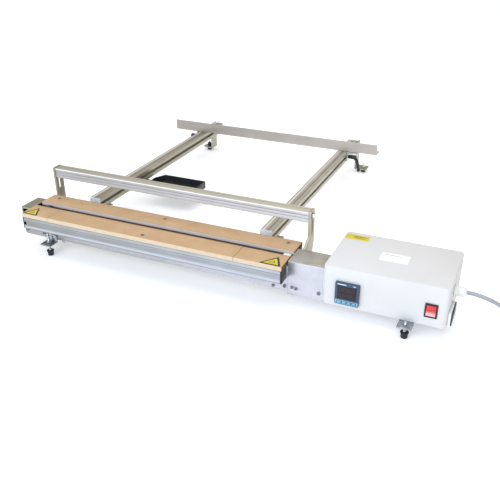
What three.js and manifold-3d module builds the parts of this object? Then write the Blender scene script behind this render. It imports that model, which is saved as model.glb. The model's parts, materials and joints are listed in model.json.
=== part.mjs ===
// Hot-wire strip heater for bending plastic sheet: a wire bed with a hold-down bar, a back-stop frame
// on two rails, four levelling feet and a control box. Millimetres, +X along the bed towards the
// control box, +Y to the back, +Z up. Every piece is a separate closed solid.
import * as THREE from 'three';
import { mergeVertices } from 'three/addons/utils/BufferGeometryUtils.js';
import Module from 'manifold-3d';

const wasm = await Module();
wasm.setup();

// Driving dimensions. The bed's left end is x = 0, its front face y = 0 and the floor z = 0.
const GAP = 0.3; // clearance between touching pieces
const BED_LENGTH = 664;
const PROFILE = 30; // slotted aluminium section of the bed and the rails
const PROFILE_BOTTOM = 68;
const PROFILE_TOP = PROFILE_BOTTOM + PROFILE;
const REAR_PROFILE_Y = 93;
const BED_DEPTH = REAR_PROFILE_Y + PROFILE;
const CAP = 2.7; // end cap thickness
const BOARD = 10;
const SLOT_FRONT = 53; // wire slot between the boards
const SLOT_REAR = 73;
const WIRE_Y = 61.5;
const WIRE_Z = 101.5;
const SHEET = 1.5; // sheet-metal thickness
const CHANNEL_LEFT = -26.5;
const CHANNEL_BOTTOM = 37.3;
const HOUSING_BOTTOM = 28;
const HOUSING_TOP = 108;
const COVER_BOTTOM = 66; // underside of the tensioner's cover
const BOX_LEFT = 743;
const BOX_WIDTH = 249.4;
const BOX_FRONT = 28;
const BOX_DEPTH = 169.3;
const BOX_BOTTOM = 31;
const BOX_HEIGHT = 87;
const BOX_WALL = 2.5;
const BOX_CORNER = 9;
const RAIL_FRONT = 163;
const RAIL_BACK = 868;
const RAIL_LEFT_X = 75.3;
const RAIL_RIGHT_X = 546.3;
const BAR = 25; // hold-down bar section
const BAR_Y = 140; // centre line of the bar and of the arms' slots
const BAR_Z = 166;
const ARM = 5; // arm thickness
const ARM_WIDTH = 27.6;
const ARM_LEFT_X = 3; // outer faces
const ARM_RIGHT_X = 679;
const ARM_TOP = 179.3;
const STOP_Y = 752; // front face of the back stop
const STOP_LEFT = -6;
const STOP_LENGTH = 670.7;
const STOP_LEG = 30;
const CLAMP_Y = 752; // clamp lever axis
const CORD_RADIUS = 4;

const BOX_RIGHT = BOX_LEFT + BOX_WIDTH;
const BOX_TOP = BOX_BOTTOM + BOX_HEIGHT;
const BOARD_BOTTOM = PROFILE_TOP + GAP;
const BOARD_TOP = BOARD_BOTTOM + BOARD;
const RAIL_SLOT_Z = PROFILE_BOTTOM + PROFILE / 2;

// ---------------------------------------------------------------- shape helpers

function toSolid(geometry) {
  const bare = geometry.clone();
  bare.deleteAttribute('normal');
  bare.deleteAttribute('uv');
  const merged = mergeVertices(bare, 1e-4);
  return new wasm.Manifold(new wasm.Mesh({
    numProp: 3,
    vertProperties: new Float32Array(merged.attributes.position.array),
    triVerts: new Uint32Array(merged.index.array),
  }));
}

function toGeometry(solid) {
  const mesh = solid.getMesh();
  const geometry = new THREE.BufferGeometry();
  geometry.setAttribute('position', new THREE.BufferAttribute(new Float32Array(mesh.vertProperties), 3));
  geometry.setIndex(new THREE.BufferAttribute(new Uint32Array(mesh.triVerts), 1));
  return geometry;
}

function join(first, ...others) {
  let solid = toSolid(first);
  for (const other of others) solid = solid.add(toSolid(other));
  return toGeometry(solid);
}

function cut(first, ...tools) {
  let solid = toSolid(first);
  for (const tool of tools) solid = solid.subtract(toSolid(tool));
  return toGeometry(solid);
}

function box(x0, x1, y0, y1, z0, z1) {
  const geometry = new THREE.BoxGeometry(x1 - x0, y1 - y0, z1 - z0);
  return geometry.translate((x0 + x1) / 2, (y0 + y1) / 2, (z0 + z1) / 2);
}

// Turns a shape built along +Z to run along another axis, without mirroring it.
function aim(geometry, axis) {
  if (axis === 'x') geometry.applyMatrix4(new THREE.Matrix4().set(0, 0, 1, 0, 1, 0, 0, 0, 0, 1, 0, 0, 0, 0, 0, 1));
  if (axis === 'y') geometry.applyMatrix4(new THREE.Matrix4().set(0, 1, 0, 0, 0, 0, 1, 0, 1, 0, 0, 0, 0, 0, 0, 1));
  return geometry;
}

// A flat outline extruded along an axis. Points are [y, z] for x, [x, z] for y and [x, y] for z.
function prism(axis, outline, from, to, holes = []) {
  const place = ([u, v]) => (axis === 'y' ? new THREE.Vector2(v, u) : new THREE.Vector2(u, v));
  const shape = new THREE.Shape(outline.map(place));
  shape.holes = holes.map((hole) => new THREE.Path(hole.map(place)));
  const geometry = new THREE.ExtrudeGeometry(shape, { depth: to - from, bevelEnabled: false });
  geometry.translate(0, 0, from);
  return aim(geometry, axis);
}

// A profile of [radius, position along the axis] turned about an axis through [u, v].
function turned(axis, profile, [u, v], sides = 16) {
  const points = profile.map(([radius, along]) => new THREE.Vector2(radius, along));
  const geometry = new THREE.LatheGeometry(points, sides);
  geometry.rotateX(Math.PI / 2); // the lathe axis becomes +Z
  aim(geometry, axis);
  const places = { x: [0, u, v], y: [u, 0, v], z: [u, v, 0] };
  return geometry.translate(...places[axis]);
}

function rod(axis, radius, from, to, centre, sides = 12) {
  return turned(axis, [[0, from], [radius, from], [radius, to], [0, to]], centre, sides);
}

function ring(axis, inner, outer, from, to, centre, sides = 16) {
  return turned(axis, [[inner, from], [outer, from], [outer, to], [inner, to], [inner, from]], centre, sides);
}

function arc([cx, cy], radius, start, end, steps) {
  const points = [];
  for (let i = 0; i <= steps; i += 1) {
    const angle = THREE.MathUtils.degToRad(start + ((end - start) * i) / steps);
    points.push([cx + radius * Math.cos(angle), cy + radius * Math.sin(angle)]);
  }
  return points;
}

function roundedRect(u0, u1, v0, v1, radius, steps = 4) {
  return [
    ...arc([u1 - radius, v0 + radius], radius, -90, 0, steps),
    ...arc([u1 - radius, v1 - radius], radius, 0, 90, steps),
    ...arc([u0 + radius, v1 - radius], radius, 90, 180, steps),
    ...arc([u0 + radius, v0 + radius], radius, 180, 270, steps),
  ];
}

// A slot outline with round ends, standing along v.
function slotOutline(u, v0, v1, radius, steps = 6) {
  return [...arc([u, v1 - radius], radius, 0, 180, steps), ...arc([u, v0 + radius], radius, 180, 360, steps)];
}

// A square aluminium section with an undercut slot in each side and a bore through its core.
function slottedProfile(axis, u0, v0, size, from, to) {
  const half = size / 2;
  const mouth = size * 0.137; // half width of the slot's mouth
  const room = size * 0.273; // half width of the undercut
  const lip = size * 0.067;
  const taper = size * 0.14;
  const depth = size * 0.28;
  const floor = size * 0.16;
  const chamfer = size * 0.05;
  const side = [
    [-half + chamfer, -half], [-mouth, -half], [-mouth, -half + lip], [-room, -half + lip],
    [-room, -half + taper], [-floor, -half + depth], [floor, -half + depth], [room, -half + taper],
    [room, -half + lip], [mouth, -half + lip], [mouth, -half], [half - chamfer, -half],
  ];
  const outline = [];
  for (let turn = 0; turn < 4; turn += 1) {
    const angle = (turn * Math.PI) / 2;
    for (const [u, v] of side) {
      outline.push([
        u0 + half + u * Math.cos(angle) - v * Math.sin(angle),
        v0 + half + u * Math.sin(angle) + v * Math.cos(angle),
      ]);
    }
  }
  const bore = rod(axis, size * 0.12, from - 1, to + 1, [u0 + half, v0 + half]);
  return cut(prism(axis, outline, from, to), bore);
}

function hexPrism(axis, acrossFlats, from, to, [u, v]) {
  return prism(axis, arc([u, v], acrossFlats / Math.sqrt(3), 0, 300, 5), from, to);
}

// ---------------------------------------------------------------- materials

const finish = (color, roughness, metalness) => new THREE.MeshStandardMaterial({ color, roughness, metalness });
const materials = {
  profile: finish(0xb9bcbd, 0.42, 0.85),
  sheet: finish(0xaeb2b5, 0.38, 0.9),
  angle: finish(0xb3afa8, 0.45, 0.8),
  board: finish(0xc8a578, 0.75, 0),
  steel: finish(0xc9cccf, 0.25, 1),
  rubber: finish(0x15171c, 0.8, 0),
  blackPlastic: finish(0x1b1d21, 0.5, 0),
  greyPlastic: finish(0x85888a, 0.6, 0),
  enclosure: finish(0xe4e4e2, 0.45, 0.1),
  bezel: finish(0x4c6a80, 0.5, 0),
  display: finish(0x2a2b30, 0.15, 0),
  key: finish(0x7fb6c6, 0.5, 0),
  red: finish(0xe0302c, 0.3, 0),
  ceramic: finish(0xf0eee8, 0.4, 0),
  wire: finish(0x5a4a42, 0.6, 0.7),
  copper: finish(0xa8622d, 0.4, 0.6),
  gland: finish(0xf1f1ef, 0.5, 0),
  cord: finish(0xa3a5a8, 0.6, 0),
};

const machine = new THREE.Group();
const cordGroup = new THREE.Group();

function add(name, geometry, material, owner = machine) {
  const mesh = new THREE.Mesh(geometry, materials[material]);
  mesh.name = name;
  owner.add(mesh);
}

// ---------------------------------------------------------------- bed

const SCREW_Y_FRONT = PROFILE / 2;
const SCREW_Y_REAR = REAR_PROFILE_Y + PROFILE / 2;
const BOARD_SCREWS = [[328, SCREW_Y_FRONT], [27, SCREW_Y_REAR], [331, SCREW_Y_REAR], [638, SCREW_Y_REAR]];

function boardHole([x, y]) {
  const profile = [[0, BOARD_BOTTOM - 1], [2.5, BOARD_BOTTOM - 1], [2.5, BOARD_TOP - 3], [5, BOARD_TOP - 0.2],
    [5, BOARD_TOP + 1], [0, BOARD_TOP + 1]];
  return turned('z', profile, [x, y]);
}

function addBed() {
  const inner = [CAP + GAP, BED_LENGTH - CAP - GAP];
  add('front_profile', slottedProfile('x', 0, PROFILE_BOTTOM, PROFILE, ...inner), 'profile');
  add('rear_profile', slottedProfile('x', REAR_PROFILE_Y, PROFILE_BOTTOM, PROFILE, CAP + GAP, BED_LENGTH), 'profile');

  const seams = [0, 74.5, 555.5, BED_LENGTH];
  ['left', 'middle', 'right'].forEach((side, i) => {
    const from = seams[i] + (i > 0 ? GAP / 2 : 0);
    const to = seams[i + 1] - (i < 2 ? GAP / 2 : 0);
    const board = box(from, to, 0, SLOT_FRONT, BOARD_BOTTOM, BOARD_TOP);
    add(`front_board_${side}`, side === 'middle' ? cut(board, boardHole(BOARD_SCREWS[0])) : board, 'board');
  });
  const rear = box(0, BED_LENGTH, SLOT_REAR, BED_DEPTH - 0.4, BOARD_BOTTOM, BOARD_TOP);
  add('rear_board', cut(rear, ...BOARD_SCREWS.slice(1).map(boardHole)), 'board');
}

// Screw holes in the front of the sheet-metal channel and of the link housing: [x, z].
const PANEL_FACE = PROFILE + GAP;
const PANEL_HOLES = [[-20, 48], [31, 48.3], [634, 43], [660, 47.5], [676.5, 48], [685, 46.5], [735, 47]];

const panelHole = ([x, z]) => rod('y', 2.1, PANEL_FACE - 5, PANEL_FACE + 5, [x, z], 12);

// Side outline of the channel. Its left end reaches out under the tensioner's cover.
function channelOutline(inset) {
  const corner = 6;
  const past = inset ? 5 : 0;
  const shelf = COVER_BOTTOM - GAP - inset;
  return [
    ...arc([CHANNEL_LEFT + corner, CHANNEL_BOTTOM + corner], corner - inset, 180, 270, 4),
    [666 + past, CHANNEL_BOTTOM + inset],
    [666 + past, 96 + past],
    [inset, 96 + past],
    [inset, shelf],
    [CHANNEL_LEFT + inset, shelf],
  ];
}

function addChannel() {
  const back = REAR_PROFILE_Y - GAP;
  const shell = cut(
    prism('y', channelOutline(0), PANEL_FACE, back),
    prism('y', channelOutline(SHEET), PANEL_FACE + SHEET, back - SHEET),
    rod('x', 2.6, -3, 5, [WIRE_Y, TENSION_Z]),
    ...PANEL_HOLES.slice(0, 4).map(panelHole),
  );
  add('bed_channel', shell, 'sheet');

  const left = 666 + GAP;
  const right = BOX_LEFT - GAP;
  const housing = cut(
    prism('x', roundedRect(PANEL_FACE, back, HOUSING_BOTTOM, HOUSING_TOP, 2, 2), left, right),
    box(left - 1, right + 1, PANEL_FACE + SHEET, back - SHEET, HOUSING_BOTTOM + SHEET, HOUSING_TOP - SHEET),
    ...PANEL_HOLES.slice(4).map(panelHole),
  );
  add('link_housing', housing, 'sheet');
}

// ---------------------------------------------------------------- heating wire and its tensioner

const TENSION_Z = 94;
const SLIDER_LEFT = 24;
const SLIDER_RIGHT = 36;
const END_BLOCK_LEFT = 644;
const SPRING_RIGHT = -0.4 - 0.9;
const SPRING_LEFT = -13.8;

class Helix extends THREE.Curve {
  constructor(radius, turns, from, to, y, z) {
    super();
    Object.assign(this, { radius, turns, from, to, y, z });
  }

  getPoint(t, target = new THREE.Vector3()) {
    const angle = t * this.turns * Math.PI * 2;
    return target.set(
      this.from + (this.to - this.from) * t,
      this.y + this.radius * Math.cos(angle),
      this.z + this.radius * Math.sin(angle),
    );
  }
}

function circleShape(radius, sides) {
  const points = arc([0, 0], radius, 0, 360 - 360 / sides, sides - 1);
  return new THREE.Shape(points.map(([u, v]) => new THREE.Vector2(u, v)));
}

// A round bar swept along a curve.
function swept(curve, radius, sides, steps) {
  return new THREE.ExtrudeGeometry(circleShape(radius, sides), { steps, bevelEnabled: false, extrudePath: curve });
}

function addWire() {
  add('heating_wire', rod('x', 0.8, SLIDER_RIGHT + GAP, END_BLOCK_LEFT - GAP, [WIRE_Y, WIRE_Z], 8), 'wire');
  const block = cut(
    box(END_BLOCK_LEFT, END_BLOCK_LEFT + 16, WIRE_Y - 7, WIRE_Y + 7, CHANNEL_BOTTOM + SHEET + GAP, 104.5),
    box(END_BLOCK_LEFT + 5, END_BLOCK_LEFT + 11, WIRE_Y - 9, WIRE_Y + 9, 60, 80),
  );
  add('wire_end_block', block, 'ceramic');
  const slider = join(
    box(SLIDER_LEFT, SLIDER_RIGHT, WIRE_Y - 6, WIRE_Y + 6, TENSION_Z - 7, 106),
    rod('x', 2, -22, SLIDER_LEFT + 2, [WIRE_Y, TENSION_Z], 12),
    hexPrism('x', 9, -19, -15, [WIRE_Y, TENSION_Z]),
  );
  add('tension_slider', slider, 'blackPlastic');
  const spring = new Helix(3.8, 4, SPRING_LEFT, SPRING_RIGHT, WIRE_Y, TENSION_Z);
  add('tension_spring', swept(spring, 0.8, 6, 40), 'steel');

  const left = -28;
  const right = -GAP;
  const front = PANEL_FACE + GAP;
  const back = REAR_PROFILE_Y - 2 * GAP;
  const cover = cut(
    prism('z', roundedRect(left, right, front, back, 1.2, 2), COVER_BOTTOM, 107.5),
    box(left + SHEET, right + 2, front + SHEET, back - SHEET, COVER_BOTTOM + SHEET, 107.5 - SHEET),
    box(left + 4, right + 2, front - 2, front + 3, 90, 104),
  );
  add('tension_cover', cover, 'sheet');
}

// ---------------------------------------------------------------- rails and their brackets

const RAIL_RIGHT_FACE = RAIL_RIGHT_X + PROFILE;

function addRails() {
  const from = RAIL_FRONT + CAP + GAP;
  const to = RAIL_BACK - CAP - GAP;
  add('rail_left', slottedProfile('y', RAIL_LEFT_X, PROFILE_BOTTOM, PROFILE, from, to), 'profile');
  add('rail_right', slottedProfile('y', RAIL_RIGHT_X, PROFILE_BOTTOM, PROFILE, from, to), 'profile');

  // Each bracket reaches under the channel, up the back of the bed and under its rail.
  const under = CHANNEL_BOTTOM - GAP;
  const wall = BED_DEPTH + GAP;
  const shelf = PROFILE_BOTTOM - GAP;
  const outline = [
    [PROFILE + 3, under - 5], [wall + 5, under - 5], [wall + 5, shelf - 5], [RAIL_FRONT + 45, shelf - 5],
    [RAIL_FRONT + 45, shelf], [wall + 5, shelf], [wall + 5, PROFILE_TOP - 3], [wall, PROFILE_TOP - 3],
    [wall, under], [PROFILE + 3, under],
  ];
  add('rail_bracket_left', prism('x', outline, 80, 112), 'steel');
  add('rail_bracket_right', prism('x', outline, 553, 589), 'steel');
}

// ---------------------------------------------------------------- hold-down bar and its arms

const SLOT_TOP = 175;
const SLOT_BOTTOM = 121;
const BAR_LEFT = ARM_LEFT_X + ARM + GAP;
const BAR_RIGHT = ARM_RIGHT_X - ARM - GAP;

function addArms() {
  const front = BAR_Y - ARM_WIDTH / 2;
  const back = BAR_Y + ARM_WIDTH / 2;
  const foot = BED_DEPTH + GAP;
  const slot = slotOutline(BAR_Y, SLOT_BOTTOM, SLOT_TOP, 4.4);
  const roundTop = [...arc([back - 3, ARM_TOP - 3], 3, 0, 90, 2), ...arc([front + 3, ARM_TOP - 3], 3, 90, 180, 2)];

  const strip = prism('x', [[front, 70], [back, 70], ...roundTop], ARM_LEFT_X, ARM_LEFT_X + ARM, [slot]);
  const plate = box(ARM_LEFT_X, 44, foot, foot + ARM, 70, PROFILE_TOP - 2);
  const plateHoles = LEFT_ARM_BOLTS.map((x) => rod('y', 3.4, foot - 2, foot + ARM + 2, [x, RAIL_SLOT_Z]));
  add('arm_left', cut(join(strip, plate), ...plateHoles), 'angle');

  // The right arm leans forward at its foot and stands off the end of the rear profile on a boss.
  const outline = [[front, 121], [96, 103], [93.5, 98], [93.5, 70], [138, 70], [149, 84], [back, 100], ...roundTop];
  const boss = rod('x', 9, BED_LENGTH + GAP, ARM_RIGHT_X - ARM + 1, [SCREW_Y_REAR, RAIL_SLOT_Z], 20);
  const boltHole = rod('x', 3.4, BED_LENGTH - 1, ARM_RIGHT_X + 2, [SCREW_Y_REAR, RAIL_SLOT_Z]);
  const strap = prism('x', outline, ARM_RIGHT_X - ARM, ARM_RIGHT_X, [slot]);
  add('arm_right', cut(join(strap, boss), boltHole), 'angle');

  add('hold_down_bar', slottedProfile('x', BAR_Y - BAR / 2, BAR_Z - BAR / 2, BAR, BAR_LEFT, BAR_RIGHT), 'profile');
  const shank = 2.7; // runs into the bar's core bore
  const leftBolt = join(
    hexPrism('x', 11, ARM_LEFT_X - 5, ARM_LEFT_X - GAP, [BAR_Y, BAR_Z]),
    rod('x', shank, ARM_LEFT_X - 1, BAR_LEFT + 16, [BAR_Y, BAR_Z]),
  );
  const rightBolt = join(
    hexPrism('x', 11, ARM_RIGHT_X + GAP, ARM_RIGHT_X + 5, [BAR_Y, BAR_Z]),
    rod('x', shank, BAR_RIGHT - 16, ARM_RIGHT_X + 1, [BAR_Y, BAR_Z]),
  );
  add('bar_bolt_left', leftBolt, 'steel');
  add('bar_bolt_right', rightBolt, 'steel');
}

const LEFT_ARM_BOLTS = [20, 35];

// ---------------------------------------------------------------- back stop and its clamps

const CLAMP_LEG = 4;
const CLAMP_REACH = 34;
const CLAMP_BACK = STOP_Y + STOP_LEG;
const STUD = 3;

// Mirrors a piece of the right-hand clamp to the left-hand rail.
function mirrored(geometry) {
  const centre = (RAIL_LEFT_X + RAIL_RIGHT_FACE) / 2;
  const flipped = toSolid(geometry).mirror([1, 0, 0]);
  return toGeometry(flipped).translate(2 * centre, 0, 0);
}

// An angle on the rail's side. Its level leg carries the stop bar and starts at a given Y.
function stopBracket(legFront) {
  const face = RAIL_RIGHT_FACE + GAP;
  const top = PROFILE_TOP - 0.2;
  const wall = box(face, face + CLAMP_LEG, CLAMP_Y - 10, CLAMP_BACK, PROFILE_BOTTOM + 2, top);
  const leg = box(face, face + CLAMP_REACH, legFront, CLAMP_BACK, top - CLAMP_LEG, top);
  const hole = rod('x', STUD + 0.4, face - 2, face + CLAMP_LEG + 2, [CLAMP_Y, RAIL_SLOT_Z]);
  return cut(join(wall, leg), hole);
}

// Hub and stud along X, with a handle that hangs down and bows outwards.
function clampLever() {
  const hubStart = RAIL_RIGHT_FACE + 2 * GAP + CLAMP_LEG;
  const hubEnd = hubStart + 23;
  const stud = rod('x', STUD, RAIL_RIGHT_FACE - 5.8, hubStart + 3, [CLAMP_Y, RAIL_SLOT_Z]);
  const hub = turned('x', [[0, hubStart], [5.5, hubStart], [6, hubStart + 8], [6.2, hubEnd - 3], [4.5, hubEnd],
    [0, hubEnd]], [CLAMP_Y, RAIL_SLOT_Z], 14);
  const path = new THREE.CatmullRomCurve3([[-5, -1], [1, -7], [5.5, -17], [8, -27], [10, -38]].map(
    ([x, z]) => new THREE.Vector3(hubEnd + x, CLAMP_Y, RAIL_SLOT_Z + z),
  ));
  const handle = swept(path, 4.3, 10, 9);
  const knob = new THREE.SphereGeometry(5.2, 12, 8).translate(hubEnd + 10, CLAMP_Y, RAIL_SLOT_Z - 38);
  return join(stud, hub, handle, knob);
}

function addStop() {
  const foot = PROFILE_TOP + GAP;
  const leg = 3;
  const outline = [[STOP_Y, foot], [STOP_Y + STOP_LEG, foot], [STOP_Y + STOP_LEG, foot + leg],
    [STOP_Y + leg, foot + leg], [STOP_Y + leg, foot + STOP_LEG], [STOP_Y, foot + STOP_LEG]];
  add('stop_bar', prism('x', outline, STOP_LEFT, STOP_LEFT + STOP_LENGTH), 'angle');
  add('stop_bracket_right', stopBracket(CLAMP_Y - 10), 'steel');
  add('stop_bracket_left', mirrored(stopBracket(STOP_Y + 10)), 'steel');
  const lever = clampLever();
  add('clamp_lever_right', lever, 'blackPlastic');
  // The left lever is turned to point to the back, a little below level.
  const left = mirrored(lever).translate(0, -CLAMP_Y, -RAIL_SLOT_Z);
  left.rotateX(THREE.MathUtils.degToRad(70)).translate(0, CLAMP_Y, RAIL_SLOT_Z);
  add('clamp_lever_left', left, 'blackPlastic');
}

// ---------------------------------------------------------------- levelling feet

const FRONT_FLANGE = 30; // underside of the front foot brackets
const REAR_FLANGE = 11;
const FLANGE = 3.2;
const FOOT_Y = 16;
const FEET = {
  front_left: { x: 55, y: FOOT_Y, pad: 14, stud: 58 },
  front_right: { x: 918, y: FOOT_Y, pad: 14, stud: 37 },
  rear_left: { x: 55, y: 862, pad: 10, stud: 27 },
  rear_right: { x: 601, y: 862, pad: 10, stud: 27 },
};

function addFeet() {
  const hole = ({ x, y }) => rod('z', STUD + 0.4, 0, 60, [x, y]);
  const face = PANEL_FACE - GAP;
  const left = cut(
    join(
      box(FEET.front_left.x - 15, FEET.front_left.x + 15, 1, face, FRONT_FLANGE, FRONT_FLANGE + FLANGE),
      box(FEET.front_left.x - 15, FEET.front_left.x + 15, face - FLANGE, face, FRONT_FLANGE, 66),
    ),
    hole(FEET.front_left),
  );
  const under = BOX_BOTTOM - GAP;
  const right = cut(
    box(FEET.front_right.x - 15, FEET.front_right.x + 15, 1, 86, under - FLANGE, under),
    hole(FEET.front_right),
  );
  add('foot_bracket_front_left', left, 'steel');
  add('foot_bracket_front_right', right, 'steel');

  const rear = [['rear_left', RAIL_LEFT_X - GAP, -1, 15], ['rear_right', RAIL_RIGHT_FACE + GAP, 1, 2]];
  for (const [name, x, way, corner] of rear) {
    const span = (a, b) => [Math.min(x + way * a, x + way * b), Math.max(x + way * a, x + way * b)];
    const wall = box(...span(0, 4), 844, 880, REAR_FLANGE, PROFILE_TOP - 2);
    const flange = prism('z', roundedRect(...span(0, 38), 844, 880, corner, 5), REAR_FLANGE, REAR_FLANGE + FLANGE);
    add(`foot_bracket_${name}`, cut(join(wall, flange), hole(FEET[name])), 'steel');
  }

  for (const [name, { x, y, pad, stud }] of Object.entries(FEET)) {
    const flare = [[0, 0], [6, 0], [7, 1.2], [7.2, pad - 5], [8.6, pad - 2.5], [8.6, pad - 0.6], [7.8, pad], [0, pad]];
    add(`foot_pad_${name}`, turned('z', flare, [x, y], 20), 'rubber');
    add(`foot_stud_${name}`, rod('z', STUD, pad + GAP, stud, [x, y]), 'steel');
  }
}

// ---------------------------------------------------------------- control box

const CONTROLLER_X = 795.8;
const CONTROLLER_Z = 64;
const CONTROLLER_HALF = 25;
const KEY_X = [-15, -5, 5, 15].map((offset) => CONTROLLER_X + offset);
const KEY_Z = CONTROLLER_Z - 19;
const SWITCH_X = 961;
const SWITCH_Z = 65.8;
const ROCKER_PIVOT_Y = BOX_FRONT + 3;
const GLAND_Y = 88;
const GLAND_Z = 86;
const CORD_START = BOX_RIGHT + 24;

const square = (x, z, halfX, halfZ, y0, y1) => box(x - halfX, x + halfX, y0, y1, z - halfZ, z + halfZ);

function addEnclosure() {
  const outer = roundedRect(BOX_LEFT, BOX_RIGHT, BOX_FRONT, BOX_FRONT + BOX_DEPTH, BOX_CORNER, 5);
  const inner = roundedRect(BOX_LEFT + BOX_WALL, BOX_RIGHT - BOX_WALL, BOX_FRONT + BOX_WALL,
    BOX_FRONT + BOX_DEPTH - BOX_WALL, BOX_CORNER - BOX_WALL, 5);
  const ease = 3; // rounding of the top edge
  const topRing = outer.map(([x, y]) => {
    const cx = THREE.MathUtils.clamp(x, BOX_LEFT + BOX_CORNER, BOX_RIGHT - BOX_CORNER);
    const cy = THREE.MathUtils.clamp(y, BOX_FRONT + BOX_CORNER, BOX_FRONT + BOX_DEPTH - BOX_CORNER);
    const shrink = (BOX_CORNER - ease) / BOX_CORNER;
    return [cx + (x - cx) * shrink, cy + (y - cy) * shrink];
  });
  const block = loft([[outer, BOX_BOTTOM], [outer, BOX_TOP - ease], [middle(outer, topRing), BOX_TOP - 0.9],
    [topRing, BOX_TOP]]);
  const cover = cut(
    block,
    prism('z', inner, BOX_BOTTOM - 1, BOX_TOP - BOX_WALL),
    square(CONTROLLER_X, CONTROLLER_Z, 22.6, 22.6, BOX_FRONT - 2, BOX_FRONT + 6),
    square(SWITCH_X, SWITCH_Z, 11, 14.2, BOX_FRONT - 2, BOX_FRONT + 6),
    rod('x', 8.4, BOX_RIGHT - 6, BOX_RIGHT + 2, [GLAND_Y, GLAND_Z], 20),
    box(BOX_LEFT - 2, BOX_LEFT + 6, PANEL_FACE + 6, REAR_PROFILE_Y - 6, 40, 100),
  );
  add('enclosure_cover', cover, 'enclosure');
  const inset = BOX_WALL + GAP;
  const base = prism('z', roundedRect(BOX_LEFT + inset, BOX_RIGHT - inset, BOX_FRONT + inset,
    BOX_FRONT + BOX_DEPTH - inset, BOX_CORNER - inset, 4), BOX_BOTTOM, BOX_BOTTOM + 2.5);
  add('enclosure_base', base, 'sheet');
}

// The ring half way down a rounded edge, bulged outwards from the straight line between two rings.
function middle(lower, upper) {
  const bulge = 0.3;
  return lower.map(([x, y], i) => [x + (upper[i][0] - x) * bulge, y + (upper[i][1] - y) * bulge]);
}

// A closed solid through level rings that have the same number of points, counter-clockwise from above.
function loft(levels) {
  const count = levels[0][0].length;
  const positions = levels.flatMap(([ring0, z]) => ring0.flatMap(([x, y]) => [x, y, z]));
  const index = [];
  for (let level = 0; level + 1 < levels.length; level += 1) {
    for (let i = 0; i < count; i += 1) {
      const a = level * count + i;
      const b = level * count + ((i + 1) % count);
      index.push(a, b, b + count, a, b + count, a + count);
    }
  }
  const last = (levels.length - 1) * count;
  for (let i = 1; i + 1 < count; i += 1) {
    index.push(0, i + 1, i);
    index.push(last, last + i, last + i + 1);
  }
  const geometry = new THREE.BufferGeometry();
  geometry.setAttribute('position', new THREE.BufferAttribute(new Float32Array(positions), 3));
  geometry.setIndex(index);
  return geometry;
}

function addController() {
  const front = BOX_FRONT - 6;
  const back = BOX_FRONT - GAP;
  const outline = roundedRect(CONTROLLER_X - CONTROLLER_HALF, CONTROLLER_X + CONTROLLER_HALF,
    CONTROLLER_Z - CONTROLLER_HALF, CONTROLLER_Z + CONTROLLER_HALF, 2, 2);
  const keyHoles = KEY_X.map((x) => square(x, KEY_Z, 4.2, 2.5, front - 1, front + 4));
  const bezel = cut(
    prism('y', outline, front, back),
    square(CONTROLLER_X, CONTROLLER_Z + 3, 19.5, 15, front - 1, front + 2),
    ...keyHoles,
  );
  add('controller_bezel', bezel, 'bezel');
  add('controller_display', square(CONTROLLER_X, CONTROLLER_Z + 3, 19.2, 14.7, front + 0.6, front + 2 - GAP), 'display');
  KEY_X.forEach((x, i) => {
    add(`controller_key_${i + 1}`, square(x, KEY_Z, 3.8, 2.1, front - 0.7, front + 2.8), 'key');
  });
  add('controller_case', square(CONTROLLER_X, CONTROLLER_Z, 22.2, 22.2, BOX_FRONT, BOX_FRONT + 70), 'blackPlastic');
}

function addSwitch() {
  const front = BOX_FRONT - 2.2;
  const rim = roundedRect(SWITCH_X - 12.4, SWITCH_X + 12.4, SWITCH_Z - 15.4, SWITCH_Z + 15.4, 1.2, 2);
  const frame = cut(
    join(
      prism('y', rim, front, BOX_FRONT - GAP),
      square(SWITCH_X, SWITCH_Z, 10.7, 13.9, BOX_FRONT - 1, BOX_FRONT + 27),
    ),
    square(SWITCH_X, SWITCH_Z, 9.6, 12.9, front - 1, BOX_FRONT + 14),
  );
  add('switch_frame', frame, 'blackPlastic');
  // The rocker's face is two flats that meet in a shallow valley. It rests with its top pressed in.
  const face = -5.6;
  const outline = [[face - 1.4, 11.2], [face, 0], [face - 1.4, -11.2], [5, -9.5], [7, 0], [5, 9.5]];
  const tilt = THREE.MathUtils.degToRad(-7);
  const rocker = prism('x', outline, SWITCH_X - 9.2, SWITCH_X + 9.2).translate(-SWITCH_X, 0, 0).rotateX(tilt);
  add('switch_rocker', rocker.translate(SWITCH_X, ROCKER_PIVOT_Y, SWITCH_Z), 'red');
}

function addElectrics() {
  const floor = BOX_BOTTOM + 2.5 + GAP;
  const core = cut(
    box(852, 922, 96, 146, floor, floor + 58),
    box(862, 874, 90, 150, floor + 11, floor + 47),
    box(900, 912, 90, 150, floor + 11, floor + 47),
  );
  add('transformer_core', core, 'sheet');
  const winding = cut(
    prism('z', roundedRect(862.4, 911.6, 84, 158, 6, 3), floor + 11.4, floor + 46.6),
    box(873.7, 900.3, 95.7, 146.3, floor, floor + 60),
  );
  add('transformer_winding', winding, 'copper');
  const relay = join(
    box(764, 822, 118, 163, floor, floor + 5),
    box(766, 820, 120, 161, floor + 4, floor + 27),
  );
  add('solid_state_relay', relay, 'blackPlastic');
}

// ---------------------------------------------------------------- mains inlet and accessory socket

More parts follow.
